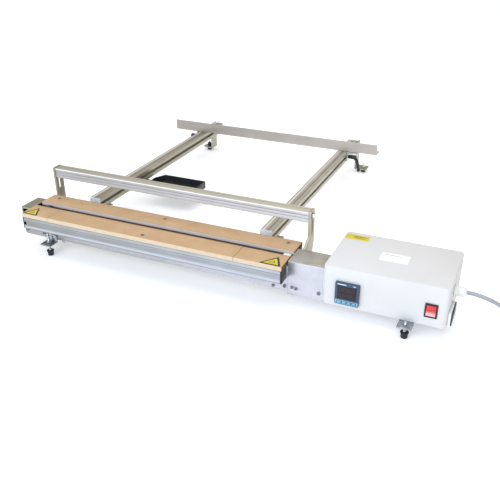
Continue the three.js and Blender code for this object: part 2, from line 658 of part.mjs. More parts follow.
function addSidePieces() {
  const face = BOX_RIGHT + GAP;
  const gland = turned('x', [[0, BOX_RIGHT - 9], [8, BOX_RIGHT - 9], [8, face], [11, face], [11, face + 6],
    [9.6, face + 7], [10.2, face + 15], [8.8, face + 19], [6, CORD_START - GAP], [0, CORD_START - GAP]],
  [GLAND_Y, GLAND_Z], 20);
  add('cable_gland', gland, 'gland');
  const cover = face + 5.6;
  add('socket_base', prism('x', roundedRect(37, 91, 32.5, 61.5, 3, 2), face, cover - GAP), 'gland');
  add('socket_cover', prism('x', roundedRect(38, 90, 33, 61, 3, 2), cover, cover + 2.3), 'blackPlastic');
}

// ---------------------------------------------------------------- parts tray on the left rail

function addTray() {
  const [x0, x1] = [112, 258];
  const [y0, y1] = [367, 445];
  const [z0, z1] = [46, 66];
  const corner = [17, 31]; // the two left corners are cut off along x and y
  const wall = 2;
  const outline = (inset) => {
    const slant = inset * 0.6;
    return [
      [x0 + corner[0] + slant, y0 + inset], [x1 - inset, y0 + inset], [x1 - inset, y1 - inset],
      [x0 + corner[0] + slant, y1 - inset], [x0 + inset, y1 - corner[1] - slant], [x0 + inset, y0 + corner[1] + slant],
    ];
  };
  // A lug at the front left corner is screwed up into the slot under the rail.
  const lug = cut(
    box(RAIL_LEFT_X + 3, x0 + 19, y0 + 5, y0 + 25, PROFILE_BOTTOM - GAP - 4, PROFILE_BOTTOM - GAP),
    rod('z', 2.4, z0, z1 + 9, [RAIL_LEFT_X + PROFILE / 2, y0 + 15]),
  );
  const bin = cut(join(prism('z', outline(0), z0, z1), lug), prism('z', outline(wall), z0 + wall, z1 + 9));
  add('parts_tray', bin, 'blackPlastic');
}

// ---------------------------------------------------------------- mains cord, coiled for storage

const CORD_END = CORD_START + 150; // where the free stretch meets the coil's outer turn
const COIL_OUTER_TURN = 56.4;
const COIL_INNER_TURN = 32;
const COIL_X = CORD_END + 32;
const COIL_Y = GLAND_Y + COIL_OUTER_TURN;
const PLUG_Y = COIL_Y + 64;

// Centre line of the free stretch: out of the gland, down in a slack curve and along the floor.
const CORD_ROUTE = [
  [CORD_START, GLAND_Y, GLAND_Z], [CORD_START + 12, GLAND_Y, GLAND_Z], [CORD_START + 24, GLAND_Y, 84.4],
  [CORD_START + 37, GLAND_Y, 81.6], [CORD_START + 50, GLAND_Y, 77.8], [CORD_START + 62, GLAND_Y, 73],
  [CORD_START + 74, GLAND_Y, 66.5], [CORD_START + 85, GLAND_Y, 58.2], [CORD_START + 95, GLAND_Y, 48.2],
  [CORD_START + 104, GLAND_Y, 37.4], [CORD_START + 113, GLAND_Y, 26.6], [CORD_START + 122, GLAND_Y, 16.8],
  [CORD_START + 131, GLAND_Y, 9.6], [CORD_START + 140, GLAND_Y, 5.4], [CORD_END - 3, GLAND_Y, 4.4],
  [CORD_END, GLAND_Y, 4.4],
];

function addCord() {
  const curve = new THREE.CatmullRomCurve3(CORD_ROUTE.map((point) => new THREE.Vector3(...point)));
  add('mains_cord', swept(curve, CORD_RADIUS, 10, 12), 'cord', cordGroup);

  const outer = COIL_OUTER_TURN + CORD_RADIUS;
  const inner = COIL_INNER_TURN - CORD_RADIUS;
  const top = 4 * CORD_RADIUS + 0.8;
  const coil = ring('z', inner, outer, 0.2, top, [COIL_X, COIL_Y], 32);
  const lead = box(CORD_END + GAP, COIL_X, GLAND_Y - CORD_RADIUS, GLAND_Y + CORD_RADIUS, 0.2, 2 * CORD_RADIUS + 0.6);
  const tail = box(COIL_X + COIL_OUTER_TURN - CORD_RADIUS, COIL_X + COIL_OUTER_TURN + CORD_RADIUS,
    COIL_Y, PLUG_Y - GAP, 0.2, top);
  add('mains_cord_coil', join(coil, lead, tail), 'cord', cordGroup);

  const x = COIL_X + COIL_OUTER_TURN;
  const z = 18.5;
  const body = turned('y', [[0, PLUG_Y], [6, PLUG_Y], [7.5, PLUG_Y + 18], [16, PLUG_Y + 26], [18.2, PLUG_Y + 34],
    [18.2, PLUG_Y + 50], [0, PLUG_Y + 50]], [x, z], 20);
  const pins = [-9.5, 9.5].map((offset) => rod('y', 2.4, PLUG_Y + 48, PLUG_Y + 69, [x + offset, z], 10));
  add('mains_plug', join(body, ...pins), 'blackPlastic', cordGroup);
}

addBed();
addChannel();
addWire();
addRails();
addArms();
addStop();
addFeet();
addEnclosure();
addController();
addSwitch();
addElectrics();
addSidePieces();
addTray();
addCord();

// The origin is the middle of the machine's footprint, on the floor; the cord isn't counted.
const footprint = new THREE.Box3().setFromObject(machine);
const whole = new THREE.Group();
whole.add(machine, cordGroup);
whole.position.set(-(footprint.min.x + footprint.max.x) / 2, -(footprint.min.y + footprint.max.y) / 2, 0);

export default whole;
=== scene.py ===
"""A hot-wire strip heater for bending plastic sheet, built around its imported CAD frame.

Lengths are in millimetres of the machine's own grid, and at() turns them into the frame's metres.
Its x = 0 is the bed's left end, y = 0 the bed's front and z = 0 the floor.
"""
import json
import math

import bmesh
import bpy
from mathutils import Matrix, Vector

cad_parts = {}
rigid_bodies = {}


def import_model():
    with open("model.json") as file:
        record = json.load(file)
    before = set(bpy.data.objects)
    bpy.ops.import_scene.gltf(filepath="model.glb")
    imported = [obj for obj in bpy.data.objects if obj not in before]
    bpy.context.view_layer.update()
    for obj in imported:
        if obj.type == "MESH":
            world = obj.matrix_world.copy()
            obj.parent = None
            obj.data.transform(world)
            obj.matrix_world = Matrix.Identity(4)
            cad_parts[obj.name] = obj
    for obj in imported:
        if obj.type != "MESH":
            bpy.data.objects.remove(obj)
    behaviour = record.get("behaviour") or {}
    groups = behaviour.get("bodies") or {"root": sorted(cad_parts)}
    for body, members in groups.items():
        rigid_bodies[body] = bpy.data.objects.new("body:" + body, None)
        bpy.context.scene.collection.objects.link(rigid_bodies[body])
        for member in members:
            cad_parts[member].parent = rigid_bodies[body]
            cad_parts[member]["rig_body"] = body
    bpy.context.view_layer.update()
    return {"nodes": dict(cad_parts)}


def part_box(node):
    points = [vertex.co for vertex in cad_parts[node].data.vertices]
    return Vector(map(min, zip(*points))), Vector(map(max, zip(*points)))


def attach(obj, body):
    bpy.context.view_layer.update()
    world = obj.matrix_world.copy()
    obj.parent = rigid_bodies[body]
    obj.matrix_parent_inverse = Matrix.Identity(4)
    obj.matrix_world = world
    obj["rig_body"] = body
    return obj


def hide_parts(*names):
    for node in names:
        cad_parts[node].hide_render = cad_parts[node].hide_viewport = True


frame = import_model()

MM = 0.001
ORIGIN = Vector((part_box("rear_board")[0].x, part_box("front_board_left")[0].y, 0))
SCENE = bpy.context.scene

# ---- the machine's main measures

BOARD_TOP = 108.3
SLOT_FRONT, SLOT_REAR = 53.0, 73.0
BED_LENGTH = 664.0
PROFILE = 30.0
PROFILE_BOTTOM = 68.0
PROFILE_TOP = PROFILE_BOTTOM + PROFILE
SLOT_Z = PROFILE_BOTTOM + PROFILE / 2
REAR_PROFILE_Y = 93.0
RAIL_X = {"left": 75.3, "right": 546.3}
RAIL_FRONT, RAIL_BACK = 163.0, 868.0
BAR_Y, BAR_Z, BAR = 140.0, 166.0, 25.0
BOX_LEFT, BOX_RIGHT = 743.0, 992.4
BOX_FRONT = 28.0
BOX_TOP = 118.0
PANEL_FACE = 30.3
CLAMP_Y = 752.0
GLAND_Y, GLAND_Z = 88.0, 86.0
WIRE_Y, WIRE_Z = 61.5, 101.5
# Each foot's x and y, the top of its rubber pad and the top of its stud.
FEET = {
    "front_left": (55, 16, 14, 58),
    "front_right": (918, 16, 14, 37),
    "rear_left": (55, 862, 10, 27),
    "rear_right": (601, 862, 10, 27),
}


def at(x, y, z):
    """A point of the machine's grid in the frame's metres."""
    return ORIGIN + Vector((x, y, z)) * MM


def new_object(name, data):
    made = bpy.data.objects.new(name, data)
    SCENE.collection.objects.link(made)
    return made


# ---- camera

CAMERA_AT = (1082.2, -1079.2, 758.0)
CAMERA_PITCH, CAMERA_YAW, CAMERA_ROLL = 27.8, 24.3, -0.4
CAMERA_LENS, CAMERA_SENSOR = 47.48, 36


def add_camera():
    data = bpy.data.cameras.new("camera")
    data.sensor_width = CAMERA_SENSOR
    data.lens = CAMERA_LENS
    data.clip_start = 0.05
    camera = new_object("camera", data)
    turn = (
        Matrix.Rotation(math.radians(CAMERA_YAW), 4, "Z")
        @ Matrix.Rotation(math.radians(90 - CAMERA_PITCH), 4, "X")
        @ Matrix.Rotation(math.radians(CAMERA_ROLL), 4, "Z")
    )
    camera.matrix_world = Matrix.Translation(at(*CAMERA_AT)) @ turn
    SCENE.camera = camera


# ---- materials

# The colour sockets of a Mix node, by their place in its lists.
MIX_FIRST, MIX_SECOND, MIX_RESULT = 6, 7, 2
LINE_BLUR = 0.3 * MM


def rgb(red, green, blue):
    """A screen colour, 0 to 255, as linear light."""
    parts = (red / 255, green / 255, blue / 255)
    linear = (p / 12.92 if p <= 0.04045 else ((p + 0.055) / 1.055) ** 2.4 for p in parts)
    return (*linear, 1.0)


def set_inputs(node, **values):
    """Sets a node's inputs by their names, with _ for a space."""
    for name, value in values.items():
        node.inputs[name.replace("_", " ")].default_value = value


def new_node(nodes, kind, **values):
    node = nodes.new(f"ShaderNode{kind}")
    set_inputs(node, **values)
    return node


class Shade:
    """One node material. Its textures use object coordinates, so they move with a piece."""

    def __init__(self, name, roughness, metallic=0.0, **inputs):
        self.material = bpy.data.materials.new(name)
        self.material.use_nodes = True
        self.nodes = self.material.node_tree.nodes
        self.link = self.material.node_tree.links.new
        self.shader = self.nodes["Principled BSDF"]
        set_inputs(self.shader, Roughness=roughness, Metallic=metallic, **inputs)
        coordinates = new_node(self.nodes, "TexCoord")
        self.place = coordinates.outputs["Object"]
        self.normal = coordinates.outputs["Normal"]

    def noise(self, scale, detail, stretch=(1, 1, 1), roughness=0.55):
        mapping = new_node(self.nodes, "Mapping", Scale=stretch)
        self.link(self.place, mapping.inputs["Vector"])
        texture = new_node(self.nodes, "TexNoise", Scale=scale, Detail=detail, Roughness=roughness)
        self.link(mapping.outputs["Vector"], texture.inputs["Vector"])
        return texture.outputs["Fac"]

    def cells(self, scale):
        texture = new_node(self.nodes, "TexVoronoi", Scale=scale)
        self.link(self.place, texture.inputs["Vector"])
        return texture.outputs["Color"]

    def spread(self, value, low, high, out_low=0.0, out_high=1.0):
        """Maps a value's range low to high onto another, and clamps it."""
        node = new_node(self.nodes, "MapRange", From_Min=low, From_Max=high, To_Min=out_low,
                        To_Max=out_high)
        self.link(value, node.inputs["Value"])
        return node.outputs["Result"]

    def math(self, operation, first, second=0.0):
        """A sum on one or two values, each of them a number or another node's output."""
        node = new_node(self.nodes, "Math")
        node.operation = operation
        for socket, value in zip(node.inputs, (first, second)):
            if isinstance(value, (int, float)):
                socket.default_value = value
            else:
                self.link(value, socket)
        return node.outputs["Value"]

    def mix(self, factor, first, second):
        """Goes from one colour to another as the factor goes from 0 to 1."""
        node = new_node(self.nodes, "Mix")
        node.data_type = "RGBA"
        self.link(factor, node.inputs["Factor"])
        for place, value in ((MIX_FIRST, first), (MIX_SECOND, second)):
            socket = node.inputs[place]
            if isinstance(value, tuple):
                socket.default_value = value
            else:
                self.link(value, socket)
        return node.outputs[MIX_RESULT]

    def left_end_shade(self, colour):
        """Painted shade: the colour, duller and warmer towards the machine's left end, as in the
        photo.
        """
        left, right = at(0, 0, 0).x, at(BED_LENGTH, 0, 0).x
        wear_and_shade = self.spread(self.axis("X"), left, right, 0.55, 0.0)
        return self.mix(wear_and_shade, colour, rgb(128, 124, 106))

    def axis(self, name, source=None):
        """One of X, Y and Z of a vector, or of the place on the object where none is given."""
        node = new_node(self.nodes, "SeparateXYZ")
        self.link(source or self.place, node.inputs["Vector"])
        return node.outputs[name]

    def colour(self, value):
        self.link(value, self.shader.inputs["Base Color"])

    def tint(self, texture, low, high, first, second):
        """Colours the surface from first to second as the texture goes from low to high."""
        self.colour(self.mix(self.spread(texture, low, high), first, second))

    def rough(self, texture, low, high, smoothest, roughest):
        value = self.spread(texture, low, high, smoothest, roughest)
        self.link(value, self.shader.inputs["Roughness"])

    def bump(self, height, strength, depth_mm):
        """Adds a fine relief, and gives the finished material."""
        node = new_node(self.nodes, "Bump", Strength=strength, Distance=depth_mm * MM)
        self.link(height, node.inputs["Height"])
        self.link(node.outputs["Normal"], self.shader.inputs["Normal"])
        return self.material


def tone_of(shade, first, second, share):
    """Two textures added in shares that make one."""
    first_part = shade.math("MULTIPLY", first, share)
    return shade.math("ADD", first_part, shade.math("MULTIPLY", second, 1 - share))


def extruded_aluminium(name, light, dark, along, roughness=0.36, metallic=0.6, painted_lines=(),
                       painted_top_tone=None):
    """Satin anodised section with fine die lines along its length and faint handling marks.

    Painted lines are painted shade and highlight, as (axis they lie across, low, high, colour).
    Faces that lie flat take the painted top tone, where one is given: painted light for how light
    falls on the tops.
    """
    stretch = (0.02, 1, 1) if along == "x" else (1, 0.02, 1)
    shade = Shade(name, roughness, metallic)
    lines = shade.noise(900, 4, stretch)
    clouds = shade.noise(14, 3)
    tone = tone_of(shade, lines, clouds, 0.55)
    colour = shade.mix(shade.spread(tone, 0.35, 0.65), dark, light)
    if painted_top_tone:
        # Painted light: flat faces take a warmer top tone.
        flat = shade.spread(shade.axis("Z", shade.normal), 0.7, 0.9, 0.0, 0.85)
        colour = shade.mix(flat, colour, painted_top_tone)
    # Painted shade: darker and warmer towards the left end.
    colour = shade.left_end_shade(colour)
    # Fine lines of painted shade and painted highlight.
    for across, low, high, line_colour in painted_lines:
        middle = at(*[(low + high) / 2] * 3)["XYZ".index(across)]
        half = (high - low) / 2 * MM
        away = shade.math("ABSOLUTE", shade.math("SUBTRACT", shade.axis(across), middle))
        line = shade.spread(away, half, half + LINE_BLUR, 1.0, 0.0)
        colour = shade.mix(line, colour, line_colour)
    shade.colour(colour)
    marks = shade.noise(220, 6, (1, 1, 1), 0.7)
    shade.rough(marks, 0.3, 0.75, roughness - 0.07, roughness + 0.1)
    return shade.bump(lines, 0.12, 0.15)


def zinc_sheet():
    """Zinc-plated sheet with soft spangle and a rolled grain."""
    shade = Shade("zinc_sheet", 0.34, 0.8)
    spangle = shade.axis("X", shade.cells(95))
    grain = shade.noise(700, 4, (0.04, 1, 1))
    clouds = shade.noise(9, 4)
    tone = tone_of(shade, spangle, clouds, 0.12)
    colour = shade.mix(shade.spread(tone, 0.3, 0.72), rgb(186, 187, 196), rgb(206, 206, 216))
    # Painted shade: darker and warmer towards the left end.
    colour = shade.left_end_shade(colour)
    # Faces that lie flat take a warmer, blotchy tone: painted light for how light falls on the
    # tops.
    flat = shade.spread(shade.axis("Z", shade.normal), 0.6, 0.9, 0.0, 0.75)
    blots = shade.spread(shade.noise(16, 3), 0.4, 0.62)
    painted_top_light = shade.mix(blots, rgb(190, 186, 176), rgb(142, 138, 112))
    shade.colour(shade.mix(flat, colour, painted_top_light))
    shade.rough(grain, 0.3, 0.7, 0.28, 0.46)
    return shade.bump(grain, 0.08, 0.1)


def bright_plating(name, light, dark, roughness=0.22):
    """Bright zinc plate on small steel parts, a little uneven and lightly scuffed."""
    shade = Shade(name, roughness, 1.0)
    clouds = shade.noise(60, 4)
    scuffs = shade.noise(420, 6, (1, 1, 1), 0.75)
    shade.tint(clouds, 0.3, 0.7, dark, light)
    shade.rough(scuffs, 0.35, 0.75, roughness - 0.06, roughness + 0.16)
    return shade.bump(scuffs, 0.06, 0.05)


def insulating_board():
    """Tan pressed board: mottled face, pale edges, scorched by the wire; its ends and slot edges in
    painted shade.
    """
    shade = Shade("insulating_board", 0.7)
    patches = shade.noise(22, 3)
    fibres = shade.noise(420, 5, (0.25, 1, 1), 0.7)
    specks = shade.noise(1500, 2)
    face = shade.mix(shade.spread(patches, 0.32, 0.68), rgb(188, 155, 117), rgb(198, 164, 128))
    face = shade.mix(shade.spread(fibres, 0.35, 0.8, 0.0, 0.35), face, rgb(168, 134, 96))
    face = shade.mix(shade.spread(specks, 0.62, 0.75, 0.0, 0.25), face, rgb(140, 106, 72))
    edge = shade.mix(shade.spread(fibres, 0.3, 0.7), rgb(214, 196, 172), rgb(200, 180, 152))
    height = shade.axis("Z")
    middle = at(0, (SLOT_FRONT + SLOT_REAR) / 2, 0).y
    from_wire = shade.math("ABSOLUTE", shade.math("SUBTRACT", shade.axis("Y"), middle))
    # The lower half of the two edges beside the wire is darker: painted shade deep in the slot.
    deep_slot_shade = shade.spread(height, 100.8 * MM, 102.0 * MM, 1.0, 0.0)
    slot_edge = shade.mix(deep_slot_shade, rgb(212, 202, 198), rgb(128, 100, 88))
    half_slot = (SLOT_REAR - SLOT_FRONT) / 2 * MM
    other_edges = shade.spread(from_wire, half_slot + 0.8 * MM, half_slot + 1.2 * MM)
    edge = shade.mix(other_edges, slot_edge, edge)
    upward = shade.math("ABSOLUTE", shade.axis("Z", shade.normal))
    endward = shade.math("ABSOLUTE", shade.axis("X", shade.normal))
    browned = shade.spread(from_wire, half_slot, half_slot + 5 * MM, 0.4, 0.0)
    face = shade.mix(browned, face, rgb(150, 116, 88))
    surface = shade.mix(shade.spread(upward, 0.55, 0.9), edge, face)
    # The end faces are darker: painted shade.
    shade.tint(endward, 0.25, 0.5, surface, rgb(104, 76, 50))
    shade.rough(fibres, 0.3, 0.7, 0.6, 0.82)
    return shade.bump(fibres, 0.25, 0.12)


def powder_coat():
    """Light grey-white paint with a fine orange-peel surface and slight grime in patches."""
    shade = Shade("powder_coat", 0.45)
    peel = shade.noise(900, 2)
    patches = shade.spread(shade.noise(6, 3), 0.35, 0.7)
    shade.colour(shade.mix(patches, rgb(212, 211, 212), rgb(206, 205, 205)))
    shade.rough(peel, 0.3, 0.7, 0.42, 0.52)
    return shade.bump(peel, 0.16, 0.08)


def moulded_plastic(name, light, dark, roughness, grain=1400):
    """Moulded plastic with a fine spark-eroded grain and a slightly uneven sheen."""
    shade = Shade(name, roughness)
    fine = shade.noise(grain, 3)
    broad = shade.noise(35, 3)
    shade.tint(broad, 0.3, 0.7, dark, light)
    shade.rough(broad, 0.3, 0.7, roughness - 0.05, roughness + 0.08)
    return shade.bump(fine, 0.2, 0.05)


def rubber():
    shade = Shade("foot_rubber", 0.72)
    dust = shade.noise(160, 5, (1, 1, 1), 0.7)
    shade.tint(dust, 0.45, 0.8, rgb(16, 19, 30), rgb(48, 52, 62))
    shade.rough(dust, 0.3, 0.8, 0.62, 0.85)
    return shade.bump(dust, 0.25, 0.15)


def display_glass():
    shade = Shade("display_window", 0.14, Specular_IOR_Level=0.3)
    haze = shade.noise(90, 4)
    shade.tint(haze, 0.3, 0.7, rgb(34, 28, 34), rgb(46, 38, 44))
    shade.rough(haze, 0.3, 0.7, 0.08, 0.2)
    return shade.material


def rocker_red():
    """Translucent red moulding, paler towards its lower edge: a painted highlight."""
    shade = Shade("rocker_red", 0.2, Coat_Weight=0.6, Coat_Roughness=0.08)
    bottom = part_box("switch_rocker")[0].z
    height = shade.axis("Z")
    swirl = shade.noise(120, 3)
    red = shade.mix(shade.spread(swirl, 0.3, 0.7), rgb(188, 14, 22), rgb(212, 30, 34))
    # Painted highlight: paler towards the lower edge.
    pale = shade.spread(height, bottom + 4 * MM, bottom + 10 * MM, 0.75, 0.0)
    shade.colour(shade.mix(pale, red, rgb(240, 190, 188)))
    return shade.material


def oxidised_wire():
    shade = Shade("oxidised_wire", 0.55, 0.9)
    bands = shade.noise(70, 4, (1, 0.2, 0.2))
    shade.tint(bands, 0.3, 0.7, rgb(58, 42, 36), rgb(112, 92, 84))
    shade.rough(bands, 0.3, 0.7, 0.45, 0.7)
    return shade.material


def vinyl(name, light, dark):
    """Printed vinyl label: nearly even colour with faint wear."""
    shade = Shade(name, 0.32)
    wear_and_shade = shade.noise(140, 5, (1, 1, 1), 0.7)
    shade.tint(wear_and_shade, 0.4, 0.85, light, dark)
    shade.rough(wear_and_shade, 0.3, 0.8, 0.26, 0.45)
    return shade.bump(wear_and_shade, 0.05, 0.05)


def varnished_copper():
    shade = Shade("varnished_copper", 0.35, 0.8, Coat_Weight=0.5)
    turns = shade.noise(900, 2, (0.05, 0.05, 1))
    shade.tint(turns, 0.35, 0.65, rgb(110, 52, 24), rgb(188, 104, 56))
    return shade.bump(turns, 0.5, 0.3)


# Front profile: painted shadow at its lower edge, painted highlight above, painted shade line
# higher up.
BED_LINES = (
    ("Z", 68.0, 69.8, rgb(78, 90, 114)),
    ("Z", 72.0, 75.4, rgb(184, 189, 200)),
    ("Z", 89.2, 90.4, rgb(122, 127, 136)),
)
# Hold-down bar: painted shade beside its slot strips, and a painted highlight under its top front
# edge.
BAR_LINES = (
    ("Z", 161.8, 162.9, rgb(158, 157, 160)),
    ("Z", 168.9, 170.2, rgb(142, 141, 144)),
    ("Z", 175.4, 177.4, rgb(240, 242, 248)),
    ("Y", 135.7, 136.9, rgb(158, 152, 134)),
    ("Y", 143.1, 144.5, rgb(142, 136, 118)),
)
# Measured from each rail's left side: a painted highlight, and painted shade beside the slot strip.
RAIL_LINES = ((5.2, 10.4, rgb(232, 222, 214)), (17.9, 19.3, rgb(96, 84, 62)))


# Each material's name, its light and dark tone, and what else its maker takes.
ALUMINIUM = {
    "profile_bed": ("aluminium_bed", (190, 194, 204), (164, 169, 178), "x", 0.36, 0.5, BED_LINES),
    "strip_bed": ("aluminium_strip", (172, 174, 180), (150, 152, 158), "x", 0.4),
    # The bar's last value is its painted top tone: painted light on its flat faces.
    "profile_bar": ("aluminium_bar", (222, 221, 226), (202, 200, 204), "x", 0.38, 0.2, BAR_LINES,
                    rgb(190, 182, 162)),
    "profile_rail": ("aluminium_rail", (200, 196, 184), (168, 165, 153), "y", 0.32, 0.55,
                     [("X", x + low, x + high, colour)
                      for x in RAIL_X.values() for low, high, colour in RAIL_LINES]),
    # Painted shade for the faces inside the sections' slots.
    "painted_slot_shade": ("aluminium_slot_shade", (186, 174, 146), (150, 138, 114), "x", 0.6, 0.0),
    "angle_x": ("aluminium_angle", (194, 186, 181), (174, 166, 159), "x", 0.42, 0.4),
    "strap": ("aluminium_strap", (190, 184, 166), (160, 154, 138), "x"),
}
PLATING = {
    "plate": ("zinc_plate", (226, 227, 226), (198, 199, 196)),
    "screw": ("screw_plate", (150, 152, 158), (112, 114, 122), 0.3),
    "bracket": ("bracket_plate", (172, 176, 182), (140, 144, 150), 0.34),
    "dull_plate": ("dull_plate", (184, 182, 168), (150, 149, 136), 0.36),
}
PLASTIC = {
    "black": ("black_plastic", (30, 31, 34), (22, 23, 26), 0.42),
    "bezel": ("slate_plastic", (56, 76, 98), (44, 62, 84), 0.45),
    "strip": ("pale_print", (196, 214, 228), (176, 198, 216), 0.4),
    "key": ("cyan_plastic", (124, 180, 204), (104, 162, 190), 0.4),
    "segment": ("unlit_segment", (54, 44, 50), (46, 38, 44), 0.3),
    "white": ("white_nylon", (240, 240, 238), (226, 227, 226), 0.4),
    "grey_cap": ("grey_plastic", (226, 231, 238), (212, 217, 225), 0.5),
    "cord": ("cord_sheath", (164, 168, 176), (146, 150, 158), 0.45, 500),
    "ceramic": ("white_ceramic", (240, 238, 232), (222, 218, 208), 0.5, 500),
}
VINYL = {
    "yellow": ("yellow_vinyl", (214, 192, 20), (200, 178, 26)),
    "label": ("white_vinyl", (250, 250, 250), (240, 239, 238)),
    "ink": ("dark_ink", (26, 23, 18), (42, 38, 30)),
    "pale_ink": ("pale_ink", (150, 150, 158), (136, 136, 146)),
}


def make_materials():
    made = {
        "sheet": zinc_sheet(),
        "board": insulating_board(),
        "paint": powder_coat(),
        "rubber": rubber(),
        "display": display_glass(),
        "red": rocker_red(),
        "wire": oxidised_wire(),
        "copper": varnished_copper(),
    }
    for maker, looks in ((extruded_aluminium, ALUMINIUM), (bright_plating, PLATING),
                         (moulded_plastic, PLASTIC), (vinyl, VINYL)):
        for key, (name, light, dark, *others) in looks.items():
            made[key] = maker(name, rgb(*light), rgb(*dark), *others)
    return made


# ---- mesh helpers

SHARP_ANGLE = math.radians(30)
FLAT_ANGLE = math.radians(0.5)
SAME_POINT = 1e-6
SLOT_DEPTH = 0.6
# Edges that turn by more than this many degrees stay sharp.
PIECE_SMOOTH, TURNED_SMOOTH = 35, 30


def soften(bm, width, segments=2):
    """Rounds every sharp edge of a mesh by a width in millimetres."""
    edges = [e for e in bm.edges if len(e.link_faces) == 2 and e.calc_face_angle(0) > SHARP_ANGLE]
    if edges:
        bmesh.ops.bevel(bm, geom=edges, offset=width * MM, segments=segments, profile=0.5,
                        affect="EDGES", clamp_overlap=True)


def finish_piece(name, bm, material, body, smooth=PIECE_SMOOTH):
    """Turns a bmesh in the frame's metres into a shaded piece that rides on a body."""
    bmesh.ops.recalc_face_normals(bm, faces=bm.faces)
    mesh = bpy.data.meshes.new(name)
    bm.to_mesh(mesh)
    bm.free()
    for polygon in mesh.polygons:
        polygon.use_smooth = True
    mesh.set_sharp_from_angle(angle=math.radians(smooth))
    mesh.materials.append(MATERIAL[material])
    piece = new_object(name, mesh)
    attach(piece, body)
    return piece


def slot_faces(bm, axis):
    """The long faces of a slotted section that lie inside its square outline."""
    along = "xyz".index(axis)
    across = [i for i in range(3) if i != along]
    low = [min(v.co[i] for v in bm.verts) + SLOT_DEPTH * MM for i in across]
    high = [max(v.co[i] for v in bm.verts) - SLOT_DEPTH * MM for i in across]
    inside = []
    for face in bm.faces:
        centre = face.calc_center_median()
        is_inside = all(a < centre[i] < b for i, a, b in zip(across, low, high))
        if is_inside and abs(face.normal[along]) < 0.5:
            inside.append(face)
    return inside


def refined(node, material, bevel, segments, slotted=""):
    """A copy of a CAD node with rounded edges, which stands for it.

    For a section with slots, slotted is the axis along it. Its slots get a darker look: painted
    shade.
    """
    source = frame["nodes"][node]
    bm = bmesh.new()
    bm.from_mesh(source.data)
    bmesh.ops.remove_doubles(bm, verts=bm.verts, dist=SAME_POINT)
    bmesh.ops.dissolve_limit(bm, angle_limit=FLAT_ANGLE, verts=bm.verts, edges=bm.edges)
    soften(bm, bevel, segments)
    if slotted:
        for face in slot_faces(bm, slotted):
            face.material_index = 1
    piece = finish_piece(f"{node}_skin", bm, material, source["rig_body"])
    if slotted:
        piece.data.materials.append(MATERIAL["painted_slot_shade"])
    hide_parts(node)


def ring_points(radius, sides, segments):
    """Points of a circle, or of a regular polygon with flats at that radius, as (u, v) pairs."""
    points = []
    for i in range(segments):
        angle = 2 * math.pi * i / segments
        reach = radius
        if sides:
            step = 2 * math.pi / sides
            reach = radius / math.cos((angle % step) - step / 2)
        points.append((reach * math.cos(angle), reach * math.sin(angle)))
    return points


X, Y, Z = Vector((1, 0, 0)), Vector((0, 1, 0)), Vector((0, 0, 1))
# For a shape along each axis: the directions of u, of v and along it.
AXES = {"x": (Y, Z, X), "y": (X, Z, Y), "z": (X, Y, Z)}


def bridge(bm, rings):
    """Adds the faces between each ring of vertices and the next. A ring of one is a point."""
    for lower, upper in zip(rings, rings[1:]):
        count = max(len(lower), len(upper))
        for i in range(count):
            j = (i + 1) % count
            if len(lower) == 1:
                bm.faces.new((lower[0], upper[j], upper[i]))
            elif len(upper) == 1:
                bm.faces.new((lower[i], lower[j], upper[0]))
            else:
                bm.faces.new((lower[i], lower[j], upper[j], upper[i]))


def turned_mesh(bm, profile, centre, axis, segments=36):
    """Adds a turned shape. Its profile holds (radius, along), or (radius, along, flats)."""
    u_axis, v_axis, w_axis = AXES[axis]
    middle = Vector(centre)
    rings = []
    for radius, along, *flats in profile:
        sides = flats[0] if flats else 0
        if radius == 0:
            rings.append([bm.verts.new(at(*(middle + w_axis * along)))])
            continue
        ring = []
        for u, v in ring_points(radius, sides, segments):
            ring.append(bm.verts.new(at(*(middle + u_axis * u + v_axis * v + w_axis * along))))
        rings.append(ring)
    bridge(bm, rings)
    return bm


def turned(name, profile, centre, axis, material, body="machine", segments=36):
    bm = turned_mesh(bmesh.new(), profile, centre, axis, segments)
    return finish_piece(name, bm, material, body, TURNED_SMOOTH)


def outward(outline, way, start=0.0):
    """A turned profile that starts at a face and stands out of it, where way is 1 or -1."""
    return [(radius, start + way * along, *flats) for radius, along, *flats in outline]


def prism_mesh(bm, axis, outline, low, high):
    """Adds a flat outline, in the two other axes in x, y, z order, drawn out along an axis."""
    u_axis, v_axis, w_axis = AXES[axis]
    ends = []
    for along in (low, high):
        points = [u_axis * u + v_axis * v + w_axis * along for u, v in outline]
        ends.append([bm.verts.new(at(*point)) for point in points])
    bm.faces.new(ends[0][::-1])
    bm.faces.new(ends[1])
    bridge(bm, ends)
    return bm


def prism(name, axis, outline, low, high, material, body="machine", bevel=0.0, slot=None):
    bm = prism_mesh(bmesh.new(), axis, outline, low, high)
    bmesh.ops.recalc_face_normals(bm, faces=bm.faces)
    if bevel:
        soften(bm, bevel)
    return finish_piece(name, bm, material, body)


def rectangle(u0, u1, v0, v1):
    return [(u0, v0), (u1, v0), (u1, v1), (u0, v1)]


def rounded(u0, u1, v0, v1, radius, steps):
    """A rectangle with round corners, each made in a number of steps."""
    points = []
    corners = ((u1 - radius, v0 + radius, -90), (u1 - radius, v1 - radius, 0),
               (u0 + radius, v1 - radius, 90), (u0 + radius, v0 + radius, 180))
    for cu, cv, start in corners:
        for i in range(steps + 1):
            angle = math.radians(start + 90 * i / steps)
            points.append((cu + radius * math.cos(angle), cv + radius * math.sin(angle)))
    return points


def smooth_path(points, steps):
    """Catmull-Rom points through a list of points, with a number of steps for each span."""
    line = [Vector(p) for p in points]
    padded = [2 * line[0] - line[1], *line, 2 * line[-1] - line[-2]]
    result = []
    for a, b, c, d in zip(padded, padded[1:], padded[2:], padded[3:]):
        for i in range(steps):
            t = i / steps
            result.append(0.5 * (2 * b + (c - a) * t + (2 * a - 5 * b + 4 * c - d) * t * t
                                 + (3 * b - a - 3 * c + d) * t ** 3))
    result.append(line[-1])
    return result


